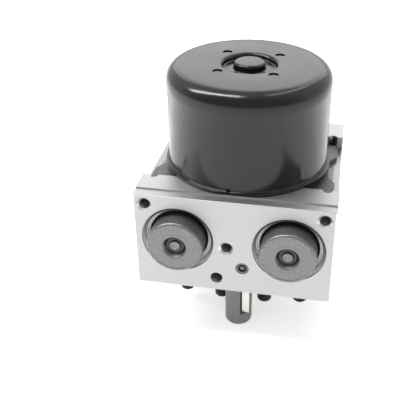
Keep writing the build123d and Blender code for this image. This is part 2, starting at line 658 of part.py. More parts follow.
def make_front_bearing_outer():
    """Outer race of the ball bearing in the shield, with its balls."""
    inner = BEARING_RADIUS - BEARING_RACE
    race = tube(inner, BEARING_RADIUS, BEARING_Z, BEARING_Z + BEARING_WIDTH)
    ball_circle = (inner + SHAFT_RADIUS + BEARING_RACE) / 2
    ball = Sphere((inner - SHAFT_RADIUS - BEARING_RACE) / 2 - SEAT_GAP)
    balls = [
        Rot(0, 0, 360 / BEARING_BALLS * i) * Pos(ball_circle, 0, BEARING_Z + BEARING_WIDTH / 2) * ball
        for i in range(BEARING_BALLS)
    ]
    return [race] + balls


def make_front_bearing_inner():
    """Inner race, which turns with the shaft."""
    return tube(SHAFT_RADIUS + STATIC_FIT, SHAFT_RADIUS + BEARING_RACE, BEARING_Z, BEARING_Z + BEARING_WIDTH)


def make_armature_shaft():
    """Stepped shaft from the eccentric's end up to the rear bush."""
    low = PUMP_Z - ECCENTRIC_WIDTH / 2 - SHAFT_END
    core_low = BEARING_Z + BEARING_WIDTH + SEAT_GAP
    high = BUSH_Z + BUSH_LENGTH
    return turned([
        (0, low, 0), (SHAFT_RADIUS, low, 0.6), (SHAFT_RADIUS, core_low, 0), (SHAFT_CORE_RADIUS, core_low, 0),
        (SHAFT_CORE_RADIUS, COIL_END_Z, 0), (SHAFT_RADIUS, COIL_END_Z, 0), (SHAFT_RADIUS, high, 0.6),
        (0, high, 0),
    ])


def slot_outline(inset):
    """One stack slot seen along the axis: a straight-sided slot that narrows to a mouth at the rim."""
    half = SLOT_WIDTH / 2 - inset
    mouth = SLOT_MOUTH / 2 - inset
    wall_end = STACK_RADIUS - TOOTH_TIP - inset
    floor = SLOT_FLOOR_RADIUS + inset
    rim = STACK_RADIUS + 1.0 if inset == 0 else wall_end + TOOTH_TIP / 2
    return make_face(Polyline([
        (floor, -half), (wall_end - 1.0, -half), (wall_end, -mouth), (rim, -mouth),
        (rim, mouth), (wall_end, mouth), (wall_end - 1.0, half), (floor, half),
    ], close=True))


def make_lamination_stack():
    """Stack of laminations with a row of half-closed slots."""
    sheet = Circle(STACK_RADIUS) - Circle(SHAFT_CORE_RADIUS + STATIC_FIT)
    for i in range(STACK_SLOTS):
        sheet -= Rot(0, 0, 360 / STACK_SLOTS * i) * slot_outline(0)
    return Pos(0, 0, STACK_Z) * extrude(sheet, STACK_LENGTH)


def make_windings():
    """Copper that fills the slots, joined by the coil heads at both ends of the stack."""
    outer = STACK_RADIUS - TOOTH_TIP - SLOT_LINER
    inner = SLOT_FLOOR_RADIUS - COIL_HEAD
    low_end = STACK_Z - SLOT_LINER
    high_end = STACK_Z + STACK_LENGTH + SLOT_LINER
    low = turned([
        (inner, COIL_START_Z, COIL_ROUND), (outer, COIL_START_Z, COIL_ROUND),
        (outer, low_end, 0), (inner, low_end, 0),
    ])
    high = turned([
        (inner, high_end, 0), (outer, high_end, 0),
        (outer, COIL_END_Z, COIL_ROUND), (inner, COIL_END_Z, COIL_ROUND),
    ])
    copper = low + high
    bar_length = STACK_LENGTH + 4 * SLOT_LINER
    bar = Pos(0, 0, STACK_Z - 2 * SLOT_LINER) * extrude(slot_outline(SLOT_LINER), bar_length)
    for i in range(STACK_SLOTS):
        copper += Rot(0, 0, 360 / STACK_SLOTS * i) * bar
    return copper


def make_commutator():
    """Commutator with a riser at its upper end and a slit between each pair of bars."""
    top = COMMUTATOR_Z + COMMUTATOR_LENGTH
    bore = SHAFT_CORE_RADIUS + STATIC_FIT
    riser = COMMUTATOR_RADIUS + COMMUTATOR_RISER
    riser_low = top - COMMUTATOR_RISER
    body = turned([
        (bore, COMMUTATOR_Z, 0), (COMMUTATOR_RADIUS, COMMUTATOR_Z, 0), (COMMUTATOR_RADIUS, riser_low, 0),
        (riser, riser_low, 0), (riser, top, 0), (bore, top, 0),
    ])
    half = BAR_SLIT / 2
    slit = slab(COMMUTATOR_RADIUS - BAR_SLIT_DEPTH, riser + 1, -half, half, COMMUTATOR_Z - 1, top + 1)
    for i in range(COMMUTATOR_BARS):
        body -= Rot(0, 0, 360 / COMMUTATOR_BARS * (i + 0.5)) * slit
    return body


def make_eccentric():
    """Eccentric sleeve on the shaft, with its high point towards the back at rest."""
    low, high = PUMP_Z - ECCENTRIC_WIDTH / 2, PUMP_Z + ECCENTRIC_WIDTH / 2
    sleeve = rod_z(0, ECCENTRICITY, low, high, ECCENTRIC_RADIUS)
    return sleeve - rod_z(0, 0, low - 1, high + 1, SHAFT_RADIUS + STATIC_FIT)


def make_eccentric_needles():
    """Needle rollers between the eccentric and the ring that the pistons ride on."""
    half = ECCENTRIC_WIDTH / 2 - NEEDLE_END_GAP
    circle = ECCENTRIC_RADIUS + NEEDLE_RADIUS + STATIC_FIT
    needle = rod_z(circle, 0, PUMP_Z - half, PUMP_Z + half, NEEDLE_RADIUS)
    return [Pos(0, ECCENTRICITY, 0) * Rot(0, 0, 360 / NEEDLES * i) * needle for i in range(NEEDLES)]


def make_pump_ring():
    """Outer ring of the eccentric's needle bearing."""
    half = ECCENTRIC_WIDTH / 2
    return Pos(0, ECCENTRICITY, 0) * tube(PUMP_RING_INNER, PUMP_RING_RADIUS, PUMP_Z - half, PUMP_Z + half)


def make_brush_holder():
    """Moulded plate on the shield with two open-ended brush boxes."""
    hole = COMMUTATOR_RADIUS + COMMUTATOR_RISER + MAGNET_GAP / 2
    holder = tube(hole, CAN_INNER_RADIUS - RUNNING_FIT, HOLDER_Z, HOLDER_TOP_Z)
    half_width = BRUSH_WIDTH / 2 + RUNNING_FIT
    half_height = BRUSH_HEIGHT / 2 + RUNNING_FIT
    box_half = BRUSH_WIDTH / 2 + BRUSH_BOX_WALL
    box_top = BRUSH_Z + BRUSH_HEIGHT / 2 + BRUSH_BOX_WALL
    for side in SIDES.values():
        low_x, high_x = sorted((side * hole, side * BRUSH_BOX_END))
        room_low, room_high = sorted((side * COMMUTATOR_RADIUS, side * (BRUSH_BOX_END - BRUSH_BOX_WALL)))
        holder += slab(low_x, high_x, -box_half, box_half, HOLDER_TOP_Z, box_top)
        holder -= slab(room_low, room_high, -half_width, half_width,
                       BRUSH_Z - half_height, BRUSH_Z + half_height)
    return holder


def make_brushes():
    """Two carbon brushes that bear on the commutator."""
    start = COMMUTATOR_RADIUS + SEAT_GAP
    half_width, half_height = BRUSH_WIDTH / 2, BRUSH_HEIGHT / 2
    bearing_face = rod_z(0, 0, BRUSH_Z - BRUSH_HEIGHT, BRUSH_Z + BRUSH_HEIGHT, start)
    brushes = []
    for side in SIDES.values():
        low, high = sorted((side * (start - BRUSH_TIP), side * (start + BRUSH_LENGTH)))
        brush = slab(low, high, -half_width, half_width, BRUSH_Z - half_height, BRUSH_Z + half_height)
        brushes.append(brush - bearing_face)
    return brushes


def make_brush_springs():
    """Springs that press the brushes inwards from the end of each box."""
    low = COMMUTATOR_RADIUS + BRUSH_LENGTH + 3 * SEAT_GAP
    high = BRUSH_BOX_END - BRUSH_BOX_WALL - SEAT_GAP
    spring = coil_spring(BRUSH_WIDTH / 2, BRUSH_SPRING, low, high)
    return [Pos(0, 0, BRUSH_Z) * Rot(0, 90 * side, 0) * spring for side in SIDES.values()]


def make_connector_post():
    """Moulded post that carries the motor's contacts down to the controller, with a recess each side."""
    top = HOLDER_Z - SEAT_GAP
    post = turned([
        (0, -POST_REACH, 0), (POST_RADIUS, -POST_REACH, POST_END_ROUND), (POST_RADIUS, top, 0), (0, top, 0),
    ])
    outside = 2 * POST_RADIUS
    recess = slab(RECESS_WALL_X, outside, -outside, RECESS_PLANE_Y, -RECESS_REACH, top - POST_HEAD)
    post -= recess
    post -= Rot(0, 0, 180) * recess
    return Pos(POST_X, POST_Y, 0) * post


def make_contact_blades():
    """Two tinned blades, one in each recess of the post, folded thicker where they make contact."""
    low = -RECESS_REACH + BLADE_END_GAP
    high = HOLDER_Z - SEAT_GAP - POST_HEAD - BLADE_GAP
    left = RECESS_WALL_X + BLADE_GAP
    face = RECESS_PLANE_Y - SEAT_GAP
    right = left + BLADE_WIDTH
    blade = slab(left, right, face - BLADE_THICKNESS, face, low, high)
    contact = slab(left, right, face - CONTACT_THICKNESS, face, low, -CONTACT_BELOW_BLOCK)
    blade += fillet(contact.edges().filter_by(Axis.X).group_by(Axis.Y)[0], BLADE_THICKNESS / 2)
    return [Pos(POST_X, POST_Y, 0) * Rot(0, 0, turn) * blade for turn in (0, 180)]


def make_pump_piston():
    """Pump piston, with a crowned foot towards the eccentric and a pocket for the return spring."""
    pocket_floor = PISTON_END - PISTON_POCKET
    return turned([
        (0, PISTON_START, 0), (PISTON_RADIUS, PISTON_START, 0.8), (PISTON_RADIUS, PISTON_END, 0.3),
        (PISTON_POCKET_RADIUS, PISTON_END, 0), (PISTON_POCKET_RADIUS, pocket_floor, 0), (0, pocket_floor, 0),
    ])


def make_pump_sleeve():
    """Pump cylinder with an inlet groove and holes, a seal groove and the outlet valve's seat."""
    bore = PISTON_RADIUS + RUNNING_FIT
    groove = SLEEVE_RADIUS - SLEEVE_GROOVE_DEPTH
    seal_low = ACCUMULATOR_X - SLEEVE_SEAL_OFFSET - SLEEVE_SEAL_WIDTH / 2
    seal_high = seal_low + SLEEVE_SEAL_WIDTH
    inlet_low = ACCUMULATOR_X - SLEEVE_INLET_HALF
    inlet_high = ACCUMULATOR_X + SLEEVE_INLET_HALF
    head = SLEEVE_END - SLEEVE_HEAD
    sleeve = turned([
        (bore, SLEEVE_START, 0), (SLEEVE_RADIUS, SLEEVE_START, 0.5),
        (SLEEVE_RADIUS, seal_low, 0), (groove, seal_low, 0), (groove, seal_high, 0),
        (SLEEVE_RADIUS, seal_high, 0), (SLEEVE_RADIUS, inlet_low, 0), (groove, inlet_low, 0),
        (groove, inlet_high, 0), (SLEEVE_RADIUS, inlet_high, 0), (SLEEVE_RADIUS, SLEEVE_END, 0),
        (OUTLET_SEAT_RADIUS, SLEEVE_END, 0), (OUTLET_SEAT_RADIUS, head, 0), (bore, head, 0),
    ])
    for turn in (0, 90):
        cross_hole = rod_x(0, ACCUMULATOR_X, -SLEEVE_RADIUS, SLEEVE_RADIUS, PUMP_PASSAGE_RADIUS)
        sleeve -= Rot(0, 0, turn) * cross_hole
    return sleeve


def make_sleeve_seal():
    """Round-section ring in the sleeve's groove."""
    section = (SLEEVE_GROOVE_DEPTH - SEAT_GAP) / 2
    middle = SLEEVE_RADIUS - SLEEVE_GROOVE_DEPTH / 2
    return Pos(0, 0, ACCUMULATOR_X - SLEEVE_SEAL_OFFSET) * Torus(middle, section)


def make_pump_spring():
    """Return spring between the piston's pocket and the sleeve's head."""
    low = PISTON_END - PISTON_POCKET + SEAT_GAP
    return coil_spring(PISTON_POCKET_RADIUS, PUMP_SPRING, low, SLEEVE_END - SLEEVE_HEAD - SEAT_GAP)


def make_pump_plug():
    """Plug that closes the pump's bore, with the outlet valve's chamber and a hexagon socket."""
    start = SLEEVE_END + SEAT_GAP
    end = SIDE_X + PLUG_PROUD
    chamber_end = start + PLUG_CHAMBER_LENGTH
    plug = turned([
        (PLUG_CHAMBER_RADIUS, start, 0), (PLUG_RADIUS, start, 0), (PLUG_RADIUS, end, 0.8), (0, end, 0),
        (0, chamber_end, 0), (PLUG_CHAMBER_RADIUS, chamber_end, 0),
    ])
    socket = extrude(RegularPolygon(PLUG_SOCKET_RADIUS, 6), 2 * PLUG_SOCKET_DEPTH)
    plug -= Pos(0, 0, end - PLUG_SOCKET_DEPTH) * socket
    plug -= rod_y(0, INLET_PORT_X, -PLUG_RADIUS, PLUG_RADIUS, PUMP_PASSAGE_RADIUS)
    return plug


def outlet_ball_centre():
    """Distance of the outlet ball's centre from the motor's axis when it sits on the edge of its seat."""
    return SLEEVE_END + math.sqrt(OUTLET_BALL_RADIUS ** 2 - OUTLET_SEAT_RADIUS ** 2) + SEAT_GAP


def make_outlet_ball():
    """Ball of the pump's outlet valve."""
    return Pos(0, 0, outlet_ball_centre()) * Sphere(OUTLET_BALL_RADIUS)


def make_outlet_spring():
    """Light spring behind the outlet ball."""
    low = outlet_ball_centre() + OUTLET_BALL_RADIUS + OUTLET_LIFT + SEAT_GAP
    return coil_spring(OUTLET_BALL_RADIUS, OUTLET_SPRING, low, SLEEVE_END + PLUG_CHAMBER_LENGTH)


def make_accumulator_cup():
    """Deep-drawn cup, open to the piston, with a flange, and a dimple with a button in its closed end."""
    end = CUP_PROTRUSION
    foot = -CUP_BORE_DEPTH
    floor = end - CUP_DIMPLE_DEPTH
    button = floor + CUP_BUTTON_HEIGHT
    flange = CUP_BORE_RADIUS - CUP_FLANGE_GAP
    inner = CUP_RADIUS - CUP_WALL
    inner_end = end - CUP_WALL
    inner_floor = floor - CUP_WALL
    return turned([
        (0, button, 0), (CUP_BUTTON_RADIUS, button, 0.7), (CUP_BUTTON_RADIUS + 0.2, floor, 0.3),
        (CUP_DIMPLE_FLOOR_RADIUS, floor, 0.6), (CUP_DIMPLE_RADIUS, end, 1.2),
        (CUP_RADIUS, end, CUP_EDGE_ROUND), (CUP_RADIUS, foot + CUP_WALL, 0.4),
        (flange, foot + CUP_WALL, 0), (flange, foot + SEAT_GAP, 0), (inner, foot + SEAT_GAP, 0.6),
        (inner, inner_end, CUP_EDGE_ROUND), (CUP_DIMPLE_RADIUS + CUP_WALL, inner_end, 0.4),
        (CUP_DIMPLE_FLOOR_RADIUS + CUP_WALL, inner_floor, 0.8), (0, inner_floor, 0),
    ])


def make_snap_ring():
    """Open ring in the bore's groove that keeps the cup's flange down."""
    low = RING_SEAT + SEAT_GAP
    ring = tube(CUP_RADIUS + CUP_FLANGE_GAP, RING_GROOVE_RADIUS - STATIC_FIT, low, low + RING_THICKNESS)
    half = RING_OPENING / 2
    return ring - slab(-half, half, -2 * CUP_RADIUS, 0, low - 1, low + RING_THICKNESS + 1)


def make_accumulator_piston():
    """Accumulator piston with a seal groove and a spring pocket, resting at the bore's end."""
    back = -ACCUMULATOR_DEPTH + SEAT_GAP
    front = back + ACCUMULATOR_PISTON_LENGTH
    radius = ACCUMULATOR_RADIUS - RUNNING_FIT
    groove_low = (back + front) / 2 - PISTON_SEAL_WIDTH / 2
    groove_high = groove_low + PISTON_SEAL_WIDTH
    pocket_floor = back + ACCUMULATOR_PISTON_FLOOR
    return turned([
        (0, back, 0), (radius, back, 0.8), (radius, groove_low, 0), (PISTON_GROOVE_RADIUS, groove_low, 0),
        (PISTON_GROOVE_RADIUS, groove_high, 0), (radius, groove_high, 0), (radius, front, 0.6),
        (PISTON_SPRING_POCKET, front, 0), (PISTON_SPRING_POCKET, pocket_floor, 0), (0, pocket_floor, 0),
    ])


def make_accumulator_seal():
    """Square-section ring in the accumulator piston's groove."""
    middle = -ACCUMULATOR_DEPTH + SEAT_GAP + ACCUMULATOR_PISTON_LENGTH / 2
    half = PISTON_SEAL_WIDTH / 2 - SEAT_GAP
    inner = PISTON_GROOVE_RADIUS + STATIC_FIT
    return tube(inner, ACCUMULATOR_RADIUS - RUNNING_FIT, middle - half, middle + half)


def make_accumulator_spring():
    """Coil spring between the accumulator piston and the closed end of the cup, round its dimple."""
    low = -ACCUMULATOR_DEPTH + ACCUMULATOR_PISTON_FLOOR + 2 * SEAT_GAP
    high = CUP_PROTRUSION - CUP_WALL - SEAT_GAP
    return coil_spring(PISTON_SPRING_POCKET, ACCUMULATOR_SPRING, low, high)


def make_valve_body(inlet):
    """Valve cartridge: stepped body in the block, and a neck that the dome slides over."""
    neck = DOME_RADIUS - DOME_WALL - STATIC_FIT
    spring_room = VALVE_BORE_RADIUS if inlet else NEEDLE_PIN_RADIUS + RUNNING_FIT
    collar_top = VALVE_COLLAR_DEPTH - SEAT_GAP
    body_top = VALVE_BODY_DEPTH - SEAT_GAP
    tip_top = VALVE_DEPTH - SEAT_GAP
    return turned([
        (spring_room, -NECK_LENGTH, 0), (neck, -NECK_LENGTH, 0), (neck, 0, 0), (VALVE_COLLAR_RADIUS, 0, 0),
        (VALVE_COLLAR_RADIUS, collar_top, 0.3), (VALVE_BODY_RADIUS, collar_top, 0),
        (VALVE_BODY_RADIUS, body_top, 0), (VALVE_TIP_RADIUS, body_top, 0), (VALVE_TIP_RADIUS, tip_top, 0),
        (VALVE_SEAT_RADIUS, tip_top, 0), (VALVE_SEAT_RADIUS, VALVE_SEAT_Z, 0), (spring_room, VALVE_SEAT_Z, 0),
    ])


def dome_reach(inlet):
    """How far a valve's dome stands out of the block."""
    return INLET_DOME_REACH if inlet else OUTLET_DOME_REACH


def make_valve_dome(inlet):
    """Closed drawn sleeve that the coil of the controller slides over."""
    reach = dome_reach(inlet)
    inner = DOME_RADIUS - DOME_WALL
    floor = -reach + 2 * DOME_WALL
    return turned([
        (0, -reach, 0), (DOME_RADIUS, -reach, DOME_END_ROUND), (DOME_RADIUS, -SEAT_GAP, 0),
        (inner, -SEAT_GAP, 0), (inner, floor, 0), (0, floor, 0),
    ])


def make_plunger(inlet):
    """Valve plunger with its needle. An inlet valve rests open and low, an outlet valve closed and high."""
    floor = -dome_reach(inlet) + 2 * DOME_WALL + SEAT_GAP
    top_stop = -NECK_LENGTH - SEAT_GAP
    radius = DOME_RADIUS - DOME_WALL - RUNNING_FIT
    seat = VALVE_SEAT_Z - SEAT_GAP
    low = floor if inlet else floor + PLUNGER_TRAVEL
    high = top_stop - PLUNGER_TRAVEL if inlet else top_stop
    tip = seat - PLUNGER_TRAVEL if inlet else seat
    pin = NEEDLE_PIN_RADIUS
    pocket = PLUNGER_POCKET_RADIUS
    pocket_end = low + PLUNGER_POCKET
    return turned([
        (pocket, low, 0), (radius, low, 0.4), (radius, high, 0.4), (pin, high, 0), (pin, tip, 0.3),
        (0, tip, 0), (0, pocket_end, 0), (pocket, pocket_end, 0),
    ])


def make_plunger_spring(inlet):
    """Plunger spring: round the needle in an inlet valve, under the plunger in an outlet valve."""
    if inlet:
        low, high = -NECK_LENGTH + SEAT_GAP, VALVE_SEAT_Z - SEAT_GAP
        return coil_spring(VALVE_BORE_RADIUS, INLET_VALVE_SPRING, low, high)
    floor = -dome_reach(inlet) + 2 * DOME_WALL + SEAT_GAP
    return coil_spring(PLUNGER_POCKET_RADIUS, OUTLET_VALVE_SPRING, floor, floor + PLUNGER_POCKET - SEAT_GAP)


def make_side_parts():
    """The nodes of the two pumps and the two accumulators."""
    sides = SIDES.items()
    parts = {
        "pump_sleeves": [outwards(side, make_pump_sleeve()) for _, side in sides],
        "sleeve_seals": [outwards(side, make_sleeve_seal()) for _, side in sides],
        "pump_plugs": [outwards(side, make_pump_plug()) for _, side in sides],
        "outlet_springs": [outwards(side, make_outlet_spring()) for _, side in sides],
        "snap_rings": [from_front(side * ACCUMULATOR_X, PUMP_Z, make_snap_ring()) for _, side in sides],
    }
    for name, side in sides:
        x = side * ACCUMULATOR_X
        parts[f"pump_piston_{name}"] = outwards(side, make_pump_piston())
        parts[f"pump_spring_{name}"] = outwards(side, make_pump_spring())
        parts[f"outlet_ball_{name}"] = outwards(side, make_outlet_ball())
        parts[f"accumulator_cup_{name}"] = from_front(x, PUMP_Z, make_accumulator_cup())
        parts[f"accumulator_piston_{name}"] = from_front(x, PUMP_Z, make_accumulator_piston())
        parts[f"accumulator_seal_{name}"] = from_front(x, PUMP_Z, make_accumulator_seal())
        parts[f"accumulator_spring_{name}"] = from_front(x, PUMP_Z, make_accumulator_spring())
    return parts


def make_valve_parts():
    """The nodes of the eight valves: bodies, domes and springs by kind, and each plunger by itself."""
    parts = {}
    makers = (("bodies", make_valve_body), ("domes", make_valve_dome), ("springs", make_plunger_spring))
    for kind, is_inlet in (("inlet", True), ("outlet", False)):
        places = [(name, x, y) for name, x, y, inlet in VALVES if inlet == is_inlet]
        for label, maker in makers:
            shape = maker(is_inlet)
            parts[f"{kind}_valve_{label}"] = [Pos(x, y, 0) * shape for _, x, y in places]
        plunger = make_plunger(is_inlet)
        for name, x, y in places:
            parts[f"{kind}_plunger_{name}"] = Pos(x, y, 0) * plunger
    return parts


def make_parts():
    """Every node of the unit with its solids."""
    parts = {
        "valve_block": make_valve_block(),
        "closing_plugs": make_closing_plugs(),
        "motor_can": make_motor_can(),
        "end_shield": make_end_shield(),
        "shield_seal": make_shield_seal(),
        "motor_screws": make_motor_screws(),
        "field_magnets": make_field_magnets(),
        "rear_bush": make_rear_bush(),
        "front_bearing_outer": make_front_bearing_outer(),
        "brush_holder": make_brush_holder(),
        "brushes": make_brushes(),
        "brush_springs": make_brush_springs(),
        "connector_post": make_connector_post(),
        "contact_blades": make_contact_blades(),
        "armature_shaft": make_armature_shaft(),
        "front_bearing_inner": make_front_bearing_inner(),
        "lamination_stack": make_lamination_stack(),
        "windings": make_windings(),
        "commutator": make_commutator(),
        "eccentric": make_eccentric(),
        "eccentric_needles": make_eccentric_needles(),
        "pump_ring": make_pump_ring(),
    }
    return parts | make_side_parts() | make_valve_parts()


os.makedirs("parts", exist_ok=True)
for node, shape in make_parts().items():
    whole = Compound(children=shape) if isinstance(shape, list) else shape
    export_step(whole, f"parts/{node}.step")
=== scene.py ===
# %% [markdown]
# # Hydraulic unit of an anti-lock brake, dressed in Blender
# The unit has three main parts: a machined aluminium valve block, a black pump motor on top of
# it, and the valves and accumulators pressed into it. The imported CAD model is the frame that
# every piece here sits on, so the first step is to load it and to note its box.

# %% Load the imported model
import json
import math

import bmesh
import bpy
import numpy as np
from mathutils import Matrix, Vector


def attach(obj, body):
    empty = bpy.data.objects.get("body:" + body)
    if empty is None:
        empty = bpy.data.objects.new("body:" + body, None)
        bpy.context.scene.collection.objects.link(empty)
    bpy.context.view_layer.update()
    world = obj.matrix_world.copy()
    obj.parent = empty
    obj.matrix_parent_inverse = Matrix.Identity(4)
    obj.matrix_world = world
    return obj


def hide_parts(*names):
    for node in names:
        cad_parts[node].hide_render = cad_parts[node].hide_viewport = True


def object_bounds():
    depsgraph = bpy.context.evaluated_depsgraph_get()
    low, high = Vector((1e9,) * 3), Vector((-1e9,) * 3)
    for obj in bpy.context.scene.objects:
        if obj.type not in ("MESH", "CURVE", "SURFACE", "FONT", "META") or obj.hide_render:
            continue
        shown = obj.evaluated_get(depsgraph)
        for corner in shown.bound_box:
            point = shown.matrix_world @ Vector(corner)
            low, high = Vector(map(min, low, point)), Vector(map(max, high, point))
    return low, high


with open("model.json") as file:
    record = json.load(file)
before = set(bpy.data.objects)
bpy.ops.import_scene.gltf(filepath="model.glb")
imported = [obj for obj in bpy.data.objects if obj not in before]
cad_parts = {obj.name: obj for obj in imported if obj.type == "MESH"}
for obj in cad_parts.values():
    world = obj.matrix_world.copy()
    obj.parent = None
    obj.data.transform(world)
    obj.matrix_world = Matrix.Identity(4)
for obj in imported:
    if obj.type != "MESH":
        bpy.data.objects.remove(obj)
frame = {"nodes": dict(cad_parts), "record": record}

MM = 0.001
cad_box = [list(corner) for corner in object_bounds()]
print("CAD box", cad_box)

# %% [markdown]
# ## Colours
# A colour on paper or on a screen is written in sRGB, but light adds up in linear values. One
# function turns a hex colour into the linear values that the shaders want.

# %% Colours from sRGB to linear
def linear(hex_colour):
    """Each channel c is c / 12.92 when small, and ((c + 0.055) / 1.055) ** 2.4 otherwise."""
    channels = [int(hex_colour[i:i + 2], 16) / 255 for i in (1, 3, 5)]
    return [c / 12.92 if c <= 0.04045 else ((c + 0.055) / 1.055) ** 2.4 for c in channels] + [1.0]


print("mid grey is", round(linear("#808080")[0], 3), "in linear light")

# %% [markdown]
# ## Adding shader nodes
# A procedural material is a small network. This helper adds one node, sets its options, and
# fills its sockets with numbers or with the outputs of earlier nodes. A Mix node has one set of
# sockets for numbers and one for colours, with the same names, so those are told apart by their
# places. A noise texture's values bunch round 0.5, and the two limits below hold nearly all of
# them, so a pattern that should use its whole range of tones is stretched from these.

# %% One helper for nodes
FACTOR, NUMBER_A, NUMBER_B, COLOUR_A, COLOUR_B = 0, 2, 3, 6, 7
NUMBER_OUT, COLOUR_OUT = 0, 2
NOISE_LOW, NOISE_HIGH = 0.3, 0.7


def add(tree, kind, sockets=None, **options):
    """Adds a node to the tree. A socket, by name or place, takes a value or another node's output."""
    made = tree.nodes.new(kind)
    for option, value in options.items():
        setattr(made, option, value)
    for key, value in (sockets or {}).items():
        if isinstance(value, bpy.types.NodeSocket):
            tree.links.new(value, made.inputs[key])
        else:
            made.inputs[key].default_value = value
    return made


def start_finish(name):
    """A material with its shader, and the object coordinates in metres that all patterns read."""
    finish = bpy.data.materials.new(name)
    finish.use_nodes = True
    tree = finish.node_tree
    shader = tree.nodes["Principled BSDF"]
    place = add(tree, "ShaderNodeTexCoord").outputs["Object"]
    return finish, tree, shader, place


print("helpers ready")

# %% [markdown]
# ## Where the block is cut
# Inside its outer faces the block is full of bores, and its top has a wide channel. All of that
# lies in a box a little smaller than the block. How deep a point lies in this box tells the
# outer faces from the cut ones, and a shallow counterbore from a deep hole.

# %% Depth inside the box of bores
BORED_CENTRE = (0.0, 0.0, 32.45 * MM)
BORED_HALF = (59.4 * MM, 56.95 * MM, 31.95 * MM)


def bored_depth(tree, place):
    """Depth in the box, in metres: the least of half - |p - centre| along X, Y and Z."""
    from_centre = add(tree, "ShaderNodeVectorMath", {0: place, 1: BORED_CENTRE}, operation="SUBTRACT")
    folded = add(tree, "ShaderNodeVectorMath", {0: from_centre.outputs[0]}, operation="ABSOLUTE")
    inside = add(tree, "ShaderNodeVectorMath", {0: BORED_HALF, 1: folded.outputs[0]}, operation="SUBTRACT")
    parts = add(tree, "ShaderNodeSeparateXYZ", {0: inside.outputs[0]}).outputs
    least = add(tree, "ShaderNodeMath", {0: parts["X"], 1: parts["Y"]}, operation="MINIMUM").outputs[0]
    return add(tree, "ShaderNodeMath", {0: least, 1: parts["Z"]}, operation="MINIMUM").outputs[0]


print("box of bores reaches up to", round((BORED_CENTRE[2] + BORED_HALF[2]) / MM, 2), "mm")

# %% [markdown]
# ## Aluminium of the valve block
# The block is sawn from an extruded bar, milled all over, and tumbled with small stones to take its
# burrs off. That leaves a pale satin grey with a fine dull fleck. The drills and reamers come after,
# so the bores keep a darker cut metal that is dulled by assembly oil, and the edges that they break
# get a near-white painted highlight. One material can hold all of it, because each has its own place
# on the block. Cut metal is dull, and its colour darkens as painted shade where it lies more than a
# few millimetres deep. The upright walls of the channel are dull, with a paler colour that is painted
# light lifting the shade they sit in, and a surface that leans at 45 degrees is a broken edge.

# %% Tumbled aluminium with cut bores, painted shade, painted light and painted highlights
FLECK_SIZE = 0.7 * MM
# Between these depths the colour of cut metal darkens as painted shade, and the metal turns dull with oil.
SHADE_AND_OIL_STARTS, SHADE_AND_OIL_FULL = 3 * MM, 4.5 * MM
CHANNEL_REACH = 36.5 * MM
STEEP_BELOW = 0.5
EDGE_LEAN, EDGE_LEAN_SPREAD = 0.707, 0.06
OILY_METALLIC = 0.25


